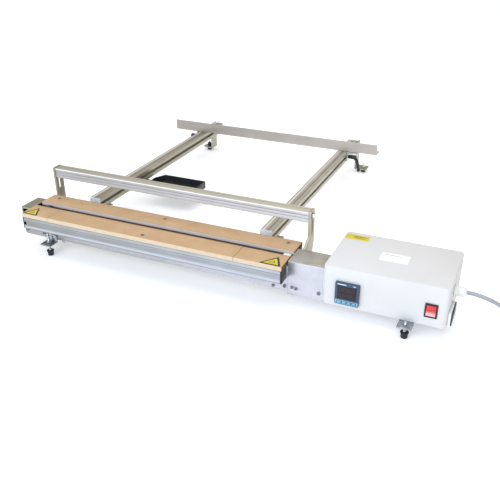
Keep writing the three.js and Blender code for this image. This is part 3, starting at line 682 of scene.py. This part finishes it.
def swept_mesh(bm, path, radii, sides, squash=1.0):
    """Adds a round bar along a path in the grid, with a radius for each of its points."""
    tangents = []
    for i, point in enumerate(path):
        before = path[max(i - 1, 0)]
        after = path[min(i + 1, len(path) - 1)]
        tangents.append((after - before).normalized())
    side = tangents[0].orthogonal().normalized()
    rings = []
    for point, tangent, radius in zip(path, tangents, radii):
        side = (side - tangent * side.dot(tangent)).normalized()
        other = tangent.cross(side)
        ring = []
        for i in range(sides):
            angle = 2 * math.pi * i / sides
            offset = side * math.cos(angle) * radius + other * math.sin(angle) * radius * squash
            ring.append(bm.verts.new(at(*(point + offset))))
        rings.append(ring)
    bridge(bm, rings)
    bm.faces.new(rings[0][::-1])
    bm.faces.new(rings[-1])
    return bm


# ---- small hardware

BOARD_SCREWS = ((328, 15), (27, 108), (331, 108), (638, 108))
# The x, z and radius of each screw head on the channel and on the link housing.
PANEL_SCREWS = (
    (-20, 48, 3.8), (31, 48.3, 4.2), (634, 43, 3.2), (660, 47.5, 3.8),
    (676.5, 48, 3.4), (685, 46.5, 3.4), (735, 47, 4.0),
)
SCREW_HEIGHT = 2.4
NUT_HOLE = 3.3
CAP_DEPTH = 2.7
CAP_INSET = 0.1
BRACKET_BACK = 128.5
BRACKET_WALL = 4.4


def hex_screw(name, centre, axis, way, head=5.0, height=3.8, body="machine"):
    """A washer and a hexagon head that stand out of a face. way is 1 or -1 along the axis."""
    washer = head * 1.35
    outline = [(0, 0), (washer, 0), (washer, 0.9), (head * 0.98, 0.9), (head, 1.0, 6),
               (head, height - 0.5, 6), (head * 0.9, height), (0, height)]
    turned(name, outward(outline, way), centre, axis, "plate", body)


def panel_screw(name, x, z, radius):
    """A pan head with a hexagon socket."""
    socket = radius * 0.42
    outline = [(0, 0), (radius, 0), (radius, 0.6 * SCREW_HEIGHT),
               (radius * 0.8, 0.95 * SCREW_HEIGHT), (radius * 0.62, SCREW_HEIGHT),
               (socket, SCREW_HEIGHT, 6), (socket, 0.3 * SCREW_HEIGHT, 6), (0, 0.2 * SCREW_HEIGHT)]
    turned(name, outward(outline, -1), (x, PANEL_FACE, z), "y", "screw")


def flush_screw(name, x, y):
    """A countersunk socket screw that lies just under the board's face."""
    top = BOARD_TOP - 0.35
    profile = [(0, top - 9), (2, top - 9), (2, top - 2.8), (4.4, top - 0.4), (4.4, top),
               (2.1, top, 6), (1.9, top - 2.2, 6), (0, top - 2.4)]
    turned(name, profile, (x, y, 0), "z", "dull_plate")


def hex_nut(name, x, y, z, flats=5.0, height=4.5):
    """A nut on an upright stud, with its lower face at z."""
    chamfer = flats * 0.92
    profile = [(NUT_HOLE, z), (chamfer, z), (flats, z + 0.5, 6), (flats, z + height - 0.5, 6),
               (chamfer, z + height), (NUT_HOLE, z + height), (NUT_HOLE, z)]
    turned(name, profile, (x, y, 0), "z", "plate")


def end_cap(name, axis, side, low, high, material):
    """A moulded cap over the end of a square section."""
    outline = rounded(side + CAP_INSET, side + PROFILE - CAP_INSET,
                      PROFILE_BOTTOM + CAP_INSET, PROFILE_TOP - CAP_INSET, 1.6, 4)
    prism(name, axis, outline, low, high, material, "machine", 0.5, "black_plastic")


def add_end_caps():
    end_cap("front_left_cap", "x", 0, 0, CAP_DEPTH, "black")
    end_cap("front_right_cap", "x", 0, BED_LENGTH - CAP_DEPTH, BED_LENGTH, "black")
    end_cap("rear_left_cap", "x", REAR_PROFILE_Y, 0, CAP_DEPTH, "black")
    for side, x in RAIL_X.items():
        front, back = RAIL_FRONT + CAP_DEPTH, RAIL_BACK - CAP_DEPTH
        end_cap(f"rail_{side}_front_cap", "y", x, RAIL_FRONT, front, "grey_cap")
        end_cap(f"rail_{side}_back_cap", "y", x, back, RAIL_BACK, "grey_cap")


def add_screws():
    for i, (x, y) in enumerate(BOARD_SCREWS):
        flush_screw(f"board_screw_{i + 1}", x, y)
    for i, (x, z, radius) in enumerate(PANEL_SCREWS):
        panel_screw(f"panel_screw_{i + 1}", x, z, radius)
    hex_screw("foot_bracket_bolt", (64, 26.7, 48), "y", -1, 4.0, 3.2)
    for i, x in enumerate((20, 35)):
        hex_screw(f"arm_bolt_{i + 1}", (x, BRACKET_BACK, SLOT_Z), "y", 1)
    hex_screw("arm_bolt_3", (679.1, 108, SLOT_Z), "x", 1)
    for side, x in (("left", 96), ("right", 571)):
        hex_screw(f"rail_bracket_bolt_{side}", (x, BRACKET_BACK, 86), "y", 1, 4.5)
        hex_screw(f"channel_bolt_{side}", (x, 62, 31.8), "z", -1, 4.0, 3.0)


def add_stop_fixings():
    """Bolts of the rear brackets and of the back stop, and the nuts in the rails' side slots."""
    left, right = RAIL_X["left"] - BRACKET_WALL, RAIL_X["right"] + PROFILE + BRACKET_WALL
    for side, face, way, stop_x in (("left", left, -1, 55), ("right", right, 1, 598)):
        hex_screw(f"rear_bracket_bolt_{side}", (face, 855, SLOT_Z), "x", way, 4.5)
        hex_screw(f"stop_bolt_{side}", (stop_x, 770, 101.5), "z", 1, 4.5, 3.4, "back_stop")
        inner = face - way * 2 * BRACKET_WALL
        outer = inner + way * 3
        profile = rectangle(min(inner, outer), max(inner, outer), SLOT_Z - 6, SLOT_Z + 6)
        prism(f"slot_nut_{side}", "y", profile, CLAMP_Y - 8, CLAMP_Y + 8, "plate", "back_stop", 0.4,
              "plated_steel")


def slot_strip(name, axis, outline, low, high, material, body="machine", bevel=0.25):
    prism(name, axis, outline, low, high, material, body, bevel, "profile_aluminium")


def add_slot_strips():
    """Strips that close a section's slot, or make it shallow."""
    # The front one leaves the slot open for the last 9 mm at the left.
    front = rectangle(0.25, 2.0, SLOT_Z - 4.0, SLOT_Z + 4.0)
    slot_strip("front_slot_strip", "x", front, 9, BED_LENGTH - 3, "strip_bed", "machine", 0.3)
    for side, x in RAIL_X.items():
        middle = x + PROFILE / 2
        top = rectangle(middle - 3.9, middle + 2.9, PROFILE_TOP - 1.8, PROFILE_TOP - 0.2)
        slot_strip(f"rail_strip_{side}", "y", top, RAIL_FRONT + 3, RAIL_BACK - 3, "profile_rail")
    half, mouth = BAR / 2, 3.35
    front = rectangle(BAR_Y - half + 0.2, BAR_Y - half + 1.5, BAR_Z - mouth, BAR_Z + mouth)
    top = rectangle(BAR_Y - mouth, BAR_Y + mouth, BAR_Z + half - 1.5, BAR_Z + half - 0.2)
    slot_strip("bar_strip_front", "x", front, 8.6, 673.4, "profile_bar", "hold_down")
    slot_strip("bar_strip_top", "x", top, 8.6, 673.4, "profile_bar", "hold_down")


# ---- feet

# Each fixed nut: its foot, then its z, and its size where that is not the usual one.
FOOT_NUTS = {
    "foot_nut_front_left": ("front_left", 25.2),
    "foot_nut_front_left_top": ("front_left", 33.5),
    "foot_nut_front_right": ("front_right", 22.7),
    "foot_nut_rear_right": ("rear_right", 14.5, 5.5, 5.0),
}


def pad_profile(pad):
    return [(0, 0.6), (3.2, 0.6), (3.6, 0), (5.8, 0), (6.6, 0.4), (7.1, 1.4), (7.0, pad * 0.45),
            (7.4, pad - 4.6), (8.5, pad - 2.8), (8.6, pad - 1.1), (8.1, pad - 0.3), (7.0, pad),
            (0, pad)]


def stud_profile(start, top):
    """A stud with a thread of 1 mm pitch, drawn as rings."""
    profile = [(0, start), (3.0, start), (3.0, start + 0.6)]
    for turn in range(int(top - start - 2)):
        profile += [(2.95, start + 0.75 + turn), (2.5, start + 1.25 + turn)]
    return [*profile, (2.6, top - 1.0), (2.2, top), (0, top)]


def add_feet():
    for name, (x, y, pad, top) in FEET.items():
        body = f"foot_{name}"
        piece = turned(f"rubber_foot_{name}", pad_profile(pad), (x, y, 0), "z", "rubber", body,
                       40)
        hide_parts(f"foot_pad_{name}")
        stud = turned(f"threaded_stud_{name}", stud_profile(pad + 0.3, top), (x, y, 0), "z",
                      "plate", body, segments=24)
        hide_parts(f"foot_stud_{name}")
    for name, (foot, *measures) in FOOT_NUTS.items():
        hex_nut(name, *FEET[foot][:2], *measures)
    dome = [(NUT_HOLE, 14.4), (6.0, 14.4), (6.2, 15.2), (6.2, 21), (5.6, 24.2), (4.0, 26.6),
            (1.8, 27.8), (0, 28.0)]
    x, y = FEET["rear_left"][:2]
    turned("foot_cap_rear_left", dome, (x, y, 0), "z", "black", "machine")


# ---- clamp levers

# The handle's bends, as distances out from the hub's end and up from its axis.
LEVER_PATH = [(-5, -1), (1, -7), (5.5, -17), (8, -27), (10, -38)]
HUB_START = RAIL_X["right"] + PROFILE + 4.6
HUB_LENGTH = 23
LEFT_LEVER_TURN = 70


def lever_mesh():
    """The right-hand lever: a hub on the screw's axis and a bowed handle that hangs down."""
    start, end = HUB_START, HUB_START + HUB_LENGTH
    middle = (0, CLAMP_Y, SLOT_Z)
    screw = [(0, start - 10), (2.9, start - 10), (2.9, start + 1)]
    hub = [(0, start), (5.0, start), (5.5, start + 0.6), (5.6, start + 8), (6.2, start + 9),
           (6.3, end - 3.2), (5.6, end - 1.0), (4.0, end - 0.2), (2.4, end), (1.7, end, 6),
           (1.7, end - 2, 6), (0, end - 2)]
    bm = bmesh.new()
    turned_mesh(bm, screw, middle, "x", 24)
    turned_mesh(bm, hub, middle, "x")
    path = smooth_path([(end + x, CLAMP_Y, SLOT_Z + z) for x, z in LEVER_PATH], 6)
    radii = [5.2 - 1.5 * i / (len(path) - 1) for i in range(len(path))]
    swept_mesh(bm, path, radii, 20, 1.05)
    tip = path[-1]
    knob = [(0, tip.z - 5.4), (2.4, tip.z - 4.9), (4.3, tip.z - 3.1), (5.2, tip.z - 0.4),
            (5.1, tip.z + 2.0), (3.9, tip.z + 4.4)]
    turned_mesh(bm, knob, (tip.x, tip.y, 0), "z", 24)
    return bm


def add_levers():
    bm = lever_mesh()
    right = finish_piece("lever_right_handle", bm, "black", "lever_right")
    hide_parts("clamp_lever_right")
    # The left one is its mirror image, turned to point to the back.
    bm = lever_mesh()
    centre = at((RAIL_X["left"] + RAIL_X["right"] + PROFILE) / 2, CLAMP_Y, SLOT_Z)
    mirror = Matrix.Scale(-1, 4, X)
    turn = Matrix.Rotation(math.radians(LEFT_LEVER_TURN), 4, "X")
    place = Matrix.Translation(centre) @ turn @ mirror @ Matrix.Translation(-centre)
    bmesh.ops.transform(bm, matrix=place, verts=bm.verts)
    left = finish_piece("lever_left_handle", bm, "black", "lever_left")
    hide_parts("clamp_lever_left")


# ---- hold-down bar bolts

BAR_BOLT = [(0, -24), (2.7, -24), (2.7, 0), (7.4, 0), (7.4, 1.2), (5.4, 1.25), (5.5, 1.4, 6),
            (5.5, 4.3, 6), (4.9, 4.9), (0, 4.9)]


def add_bar_bolts():
    for side, face, way in (("left", 2.8, -1), ("right", 679.2, 1)):
        bolt = turned(f"bar_screw_{side}", outward(BAR_BOLT, way, face), (0, BAR_Y, BAR_Z), "x",
                      "plate", "hold_down")
        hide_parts(f"bar_bolt_{side}")


# ---- control box details

CONTROLLER_X, CONTROLLER_Z = 795.8, 64.0
CONTROLLER_FACE = BOX_FRONT - 5.9
DISPLAY_Z = CONTROLLER_Z + 3
DISPLAY_FACE = BOX_FRONT - 5.4
# Printed marks: left, right, low and high from the controller's middle, thickness, material.
# The cyan bands frame the row of keys.
CONTROLLER_MARKS = {
    "controller_strip": (-20, -2, 20.2, 22.4, 0.25, "strip"),
    "controller_lamp": (12, 18, 20.4, 22.2, 0.25, "strip"),
    "key_band_left": (-23.6, -20.2, -23.2, -14.6, 0.22, "key"),
    "key_band_right": (20.2, 23.6, -23.2, -14.6, 0.22, "key"),
    "key_band_lower": (-20.2, 20.2, -23.2, -21.9, 0.22, "key"),
    "key_band_upper": (-20.2, 20.2, -16.1, -14.6, 0.22, "key"),
}
LABEL_FILM = 0.25
WARNING_TRIANGLES = {
    "right": ((613, 1.8), (661, 1.8), (643, 39)),
    "left": ((1.5, 1.8), (43, 1.8), (22, 39)),
}
# Each layer's size about the middle, its lower and upper face above the board, and its material.
TRIANGLE_LAYERS = {
    "rim": (1.0, 0.0, 0.2, "ink"),
    "face": (0.7, 0.15, 0.3, "yellow"),
    "line": (0.3, 0.25, 0.34, "ink"),
    "core": (0.2, 0.3, 0.38, "yellow"),
}


def segment_digit(bm, x, z, width, height):
    """Seven unlit bars of one display digit."""
    bar = height * 0.09
    middle = z + height / 2
    left, right, top = x + bar, x + width - bar, z + height
    upper, lower = (middle + bar / 2, top - bar / 2), (z + bar / 2, middle - bar / 2)
    bars = ((left, right, top - bar, top), (left, right, middle - bar / 2, middle + bar / 2),
            (left, right, z, z + bar), (x, left, *upper), (right, x + width, *upper),
            (x, left, *lower), (right, x + width, *lower))
    for sides in bars:
        prism_mesh(bm, "y", rectangle(*sides), DISPLAY_FACE - 0.06, DISPLAY_FACE + 0.1)


def add_controller_details():
    bm = bmesh.new()
    for height, width, rise in ((9.5, 6.0, 1.5), (7.0, 4.6, -10.5)):
        for i in range(4):
            x = CONTROLLER_X - 16.0 + i * (width + 2.2)
            segment_digit(bm, x, DISPLAY_Z + rise, width, height)
    finish_piece("display_segments", bm, "segment", "machine")
    for name, (left, right, low, high, thickness, material) in CONTROLLER_MARKS.items():
        outline = rectangle(CONTROLLER_X + left, CONTROLLER_X + right,
                            CONTROLLER_Z + low, CONTROLLER_Z + high)
        prism(name, "y", outline, CONTROLLER_FACE - thickness, CONTROLLER_FACE, material,
              "machine", 0.05, "key_cyan")


def add_housing_seal():
    """Light sealing bead in the wedge between the link housing and the box's rounded corner."""
    end, front = BOX_LEFT - 0.2, PANEL_FACE + 1.4
    wedge = [(end, front), (end + 1.7, front), (end + 0.4, PANEL_FACE + 5.0)]
    prism("housing_seal", "z", wedge, 32, 107, "white", slot="white_plastic")


def add_labels():
    """Plain coloured labels. Bars and plain triangles take the place of words and pictures."""
    film = (BOX_TOP, BOX_TOP + LABEL_FILM)
    ink = (BOX_TOP + 0.2, BOX_TOP + 0.32)
    yellow, white = rounded(746, 797, 161, 183, 1.5, 4), rounded(838, 896, 94, 129, 1.5, 4)
    prism("yellow_label", "z", yellow, *film, "yellow", bevel=0.08)
    for i, (left, right) in enumerate(((762, 792), (766, 788))):
        bar = rectangle(left, right, 174 - 6 * i, 176 - 6 * i)
        prism(f"yellow_label_bar_{i + 1}", "z", bar, *ink, "ink")
    prism("white_label", "z", white, *film, "label", bevel=0.08)
    bar = rectangle(843, 880, 119, 120.6)
    prism("white_label_bar", "z", bar, *ink, "pale_ink")
    for side, corners in WARNING_TRIANGLES.items():
        centre = [sum(values) / 3 for values in zip(*corners)]
        for layer, (size, low, high, material) in TRIANGLE_LAYERS.items():
            outline = [[c + (value - c) * size for value, c in zip(corner, centre)]
                       for corner in corners]
            prism(f"triangle_{side}_{layer}", "z", outline, BOARD_TOP + low, BOARD_TOP + high,
                  material)


def add_gland():
    outline = [(0, -9), (7.8, -9), (7.8, 0.2), (10.6, 0.2), (10.9, 0.6, 6), (10.9, 5.8, 6),
               (10.4, 6.4), (9.2, 6.6), (9.2, 7.4), (9.9, 7.8), (10.1, 9), (10.1, 15), (9.6, 18.5),
               (8.0, 21.6), (6.0, 23.4), (4.6, 23.7), (0, 23.7)]
    gland = turned("gland_body", outward(outline, 1, BOX_RIGHT), (0, GLAND_Y, GLAND_Z), "x",
                   "white", "machine", 48)
    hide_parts("cable_gland")


# ---- mains cord

CORD_RADIUS = 4.0
CORD_START = 1016.4
CORD_END = CORD_START + 150
CORD_LAID_Z = 4.4
# How the cord leaves the gland and falls to the floor: distance out and height.
CORD_FALL = (
    (0, GLAND_Z), (12, GLAND_Z), (24, 84.4), (37, 81.6), (50, 77.8), (62, 73), (74, 66.5),
    (85, 58.2), (95, 48.2), (104, 37.4), (113, 26.6), (122, 16.8), (131, 9.6), (140, 5.4),
    (147, CORD_LAID_Z), (150, CORD_LAID_Z),
)
CORD_ROUTE = [(CORD_START + out, GLAND_Y, z) for out, z in CORD_FALL]
OUTER_TURN, INNER_TURN = 56.4, 32.0
COIL_X, COIL_Y = CORD_END + 32, GLAND_Y + OUTER_TURN
COIL_TURNS, POINTS_PER_TURN = 6.25, 24
# The coil winds inwards for a number of turns, steps up, and winds out again on top.
TURNS_IN, TURNS_UNTIL_OUT = 3.0, 3.25
STEP_START, STEP_TURNS = 2.9, 0.45
PLUG_Y, PLUG_Z = COIL_Y + 64, 18.5
TIE_ANGLE = math.radians(135)


def coil_points():
    lift = 2 * CORD_RADIUS + 0.15
    closer = (OUTER_TURN - INNER_TURN) / TURNS_IN
    points = []
    for i in range(1, int(COIL_TURNS * POINTS_PER_TURN) + 1):
        done = i / POINTS_PER_TURN
        turns_in, turns_out = min(done, TURNS_IN), max(done - TURNS_UNTIL_OUT, 0.0)
        radius = OUTER_TURN - closer * turns_in + closer * turns_out
        rise = min(max((done - STEP_START) / STEP_TURNS, 0.0), 1.0)
        rise = rise * rise * (3 - 2 * rise)
        angle = 2 * math.pi * done - math.pi / 2
        points.append((COIL_X + radius * math.cos(angle), COIL_Y + radius * math.sin(angle),
                       CORD_LAID_Z + lift * rise))
    return points


def cord_path():
    """The cord's middle line, from the gland to the plug."""
    lead_in = [(x, GLAND_Y, CORD_LAID_Z) for x in (CORD_END + 10, CORD_END + 21, COIL_X)]
    coil = coil_points()
    x, y, z = coil[-1]
    tail = [(x, y + 18, z + 0.6), (x + 0.2, y + 38, z + 3.2), (x + 0.2, y + 54, PLUG_Z - 0.6),
            (x + 0.2, PLUG_Y, PLUG_Z)]
    return smooth_path([*CORD_ROUTE, *lead_in, *coil, *tail], 3)


def make_plug(x):
    """A round moulding with a ribbed boot and two pins."""
    body = [(0, 0.2), (4.2, 0.2), (5.0, 0.2), (5.4, 1.0)]
    for rib in range(5):
        start, wider = 2 + rib * 3.2, rib * 0.35
        body += [(5.5 + wider, start), (5.7 + wider, start + 2.0), (4.9 + wider, start + 2.3)]
    body += [(7.6, 18.5), (11, 21), (15.4, 26), (17.2, 30), (18.0, 35), (18.1, 49), (17.6, 49.8),
             (0, 50)]
    pin = [(0, 48), (2.4, 48), (2.4, 67), (2.0, 68.4), (1.2, 69), (0, 69)]
    bm = bmesh.new()
    turned_mesh(bm, outward(body, 1, PLUG_Y), (x, 0, PLUG_Z), "y", 48)
    for offset in (-9.5, 9.5):
        turned_mesh(bm, outward(pin, 1, PLUG_Y), (x + offset, 0, PLUG_Z), "y", 24)
    return finish_piece("plug_body", bm, "black", "machine")


def make_tie():
    """A flat band around all the turns of the coil."""
    middle = (OUTER_TURN + INNER_TURN) / 2
    half = (OUTER_TURN - INNER_TURN) / 2 + CORD_RADIUS + 0.7
    loop = rounded(-half, half, -8.0, 8.6, 4.2, 6)
    along = Vector((math.cos(TIE_ANGLE), math.sin(TIE_ANGLE), 0))
    across = Vector((-along.y, along.x, 0)) * 3
    centre = Vector((COIL_X, COIL_Y, 9.0)) + along * middle
    band = [centre + along * u + Z * v for u, v in loop]
    bm = bmesh.new()
    rings = [[bm.verts.new(at(*(p + across * s))) for s in (-1, 1)] for p in band]
    for a, b in zip(rings, rings[1:] + rings[:1]):
        bm.faces.new((a[0], a[1], b[1], b[0]))
    bmesh.ops.recalc_face_normals(bm, faces=bm.faces)
    bmesh.ops.solidify(bm, geom=list(bm.faces), thickness=-0.7 * MM)
    return finish_piece("cord_tie", bm, "black", "machine")


def add_cord():
    path = cord_path()
    curve = bpy.data.curves.new("mains_cord_curve", "CURVE")
    curve.dimensions = "3D"
    curve.bevel_depth = CORD_RADIUS * MM
    curve.bevel_resolution = 5
    curve.use_fill_caps = True
    spline = curve.splines.new("POLY")
    spline.points.add(len(path) - 1)
    for target, point in zip(spline.points, path):
        target.co = (*at(*point), 1.0)
    curve.materials.append(MATERIAL["cord"])
    cord = new_object("mains_cord_sheath", curve)
    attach(cord, "machine")
    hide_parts("mains_cord", "mains_cord_coil")
    plug = make_plug(path[-1].x)
    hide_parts("mains_plug")
    cord_tie = make_tie()


# ---- CAD nodes that only need soft edges

# Nodes, their material, bevel in mm and bevel steps, and the axis along a section with slots.
REFINED = (
    ("front_profile rear_profile", "profile_bed", 0.35, 2, "x"),
    ("rail_left rail_right", "profile_rail", 0.35, 2, "y"),
    ("hold_down_bar", "profile_bar", 0.35, 2, "x"),
    ("stop_bar", "angle_x", 0.5, 3),
    ("arm_left arm_right", "strap", 0.5, 2),
    ("bed_channel link_housing", "sheet", 0.35, 2),
    ("tension_cover", "dull_plate", 0.35, 2),
    ("front_board_left front_board_middle front_board_right rear_board", "board", 0.7, 3),
    ("rail_bracket_left rail_bracket_right", "plate", 0.6, 2),
    ("stop_bracket_left stop_bracket_right", "plate", 0.5, 2),
    ("foot_bracket_front_left foot_bracket_front_right", "bracket", 0.4, 2),
    ("foot_bracket_rear_left foot_bracket_rear_right", "dull_plate", 0.5, 2),
    ("enclosure_cover", "paint", 0.5, 3),
    ("enclosure_base", "sheet", 0.3, 2),
    ("controller_bezel", "bezel", 0.6, 3),
    ("controller_case", "black", 0.6, 2),
    ("controller_display", "display", 0.2, 2),
    ("switch_frame", "black", 0.5, 3),
    ("switch_rocker", "red", 0.8, 3),
    ("socket_base", "white", 0.8, 3),
    ("socket_cover parts_tray", "black", 0.6, 3),
    ("transformer_core", "sheet", 0.5, 2),
    ("transformer_winding", "copper", 1.2, 3),
    ("solid_state_relay", "black", 0.8, 2),
    ("wire_end_block", "ceramic", 0.6, 3),
    ("tension_slider", "black", 0.4, 2),
    ("controller_key_1 controller_key_2 controller_key_3 controller_key_4", "key", 0.35, 2),
)


def refine_nodes():
    for nodes, *look in REFINED:
        for node in nodes.split():
            refined(node, *look)


SPRING_START, SPRING_LENGTH = -13.8, 12.5
SPRING_Z, SPRING_RADIUS = 94, 3.8
SPRING_WIRE = 0.8
SPRING_TURNS, STEPS_PER_TURN = 4, 24


def add_wire():
    """The stretched wire, and the spring that keeps it taut at the left end."""
    profile = [(0, 36.4), (0.8, 36.4), (0.8, 643.6), (0, 643.6)]
    wire = turned("resistance_wire", profile, (0, WIRE_Y, WIRE_Z), "x", "wire", "machine",
                  20)
    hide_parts("heating_wire")
    steps = SPRING_TURNS * STEPS_PER_TURN
    path = []
    for i in range(steps + 1):
        done = i / steps
        angle = 2 * math.pi * SPRING_TURNS * done
        path.append(Vector((SPRING_START + SPRING_LENGTH * done,
                            WIRE_Y + SPRING_RADIUS * math.cos(angle),
                            SPRING_Z + SPRING_RADIUS * math.sin(angle))))
    bm = swept_mesh(bmesh.new(), path, [SPRING_WIRE] * len(path), 12)
    spring = finish_piece("coil_spring", bm, "plate", "machine")
    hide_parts("tension_spring")


# ---- stage and light

FLOOR_REACH = 9.0
FLOOR_DROP = 0.0002
# The room's light in front of the machine, behind it and at its right.
FRONT_LIGHT = (1.06, 1.18, 1.32, 1)
BACK_LIGHT = (0.68, 0.65, 0.58, 1)
RIGHT_LIGHT = (0.5, 0.47, 0.47, 1)


def area_light(name, place, target, size, power, colour):
    """A lamp of a size in metres at a place, turned to face a target."""
    data = bpy.data.lights.new(name, "AREA")
    data.shape = "RECTANGLE"
    data.size, data.size_y = size
    data.energy = power
    data.color = colour
    lamp = new_object(name, data)
    lamp.location = Vector(place)
    lamp.rotation_euler = (Vector(target) - Vector(place)).to_track_quat("-Z", "Y").to_euler()


def add_stage():
    bm = bmesh.new()
    bmesh.ops.create_grid(bm, x_segments=1, y_segments=1, size=FLOOR_REACH)
    mesh = bpy.data.meshes.new("floor")
    bm.to_mesh(mesh)
    bm.free()
    floor = new_object("floor", mesh)
    floor.location = (0, 0, -FLOOR_DROP)
    shade = Shade("pale_floor", 0.85, Emission_Color=(1, 1, 1, 1), Emission_Strength=0.25)
    tone = shade.spread(shade.noise(0.8, 3), 0.3, 0.7)
    shade.colour(shade.mix(tone, (0.93, 0.93, 0.93, 1), (0.9, 0.9, 0.9, 1)))
    mesh.materials.append(shade.material)

    area_light("key", (-0.2, -2.5, 1.6), (0.3, -0.2, 0.05), (1.8, 1.4), 24, (0.86, 0.93, 1.0))
    area_light("top", (0.6, -0.1, 1.9), (0.35, 0.0, 0.0), (1.6, 1.8), 13, (1.0, 0.9, 0.8))


def add_world():
    """A soft room: cool and bright in front, warm behind, dimmer at the right."""
    world = bpy.data.worlds.new("studio")
    world.use_nodes = True
    nodes, links = world.node_tree.nodes, world.node_tree.links
    split = new_node(nodes, "SeparateXYZ")
    links.new(new_node(nodes, "TexCoord").outputs["Generated"], split.inputs["Vector"])

    def blend(axis, low, high, colour):
        """A mix that turns to a colour as a direction leans further along an axis."""
        ramp = new_node(nodes, "MapRange", From_Min=low, From_Max=high)
        ramp.interpolation_type = "SMOOTHSTEP"
        mix = new_node(nodes, "Mix")
        mix.data_type = "RGBA"
        mix.inputs[MIX_SECOND].default_value = colour
        links.new(split.outputs[axis], ramp.inputs["Value"])
        links.new(ramp.outputs["Result"], mix.inputs["Factor"])
        return mix

    depth = blend("Y", -0.4, 0.6, BACK_LIGHT)
    depth.inputs[MIX_FIRST].default_value = FRONT_LIGHT
    side = blend("X", 0.2, 0.9, RIGHT_LIGHT)
    links.new(depth.outputs[MIX_RESULT], side.inputs[MIX_FIRST])
    links.new(side.outputs[MIX_RESULT], nodes["Background"].inputs["Color"])
    SCENE.world = world


add_camera()
MATERIAL = make_materials()
add_cord()
refine_nodes()
add_wire()
add_end_caps()
add_screws()
add_stop_fixings()
add_slot_strips()
add_feet()
add_levers()
add_bar_bolts()
add_controller_details()
add_housing_seal()
add_labels()
add_gland()
add_stage()
add_world()
SCENE.view_settings.view_transform = "Standard"
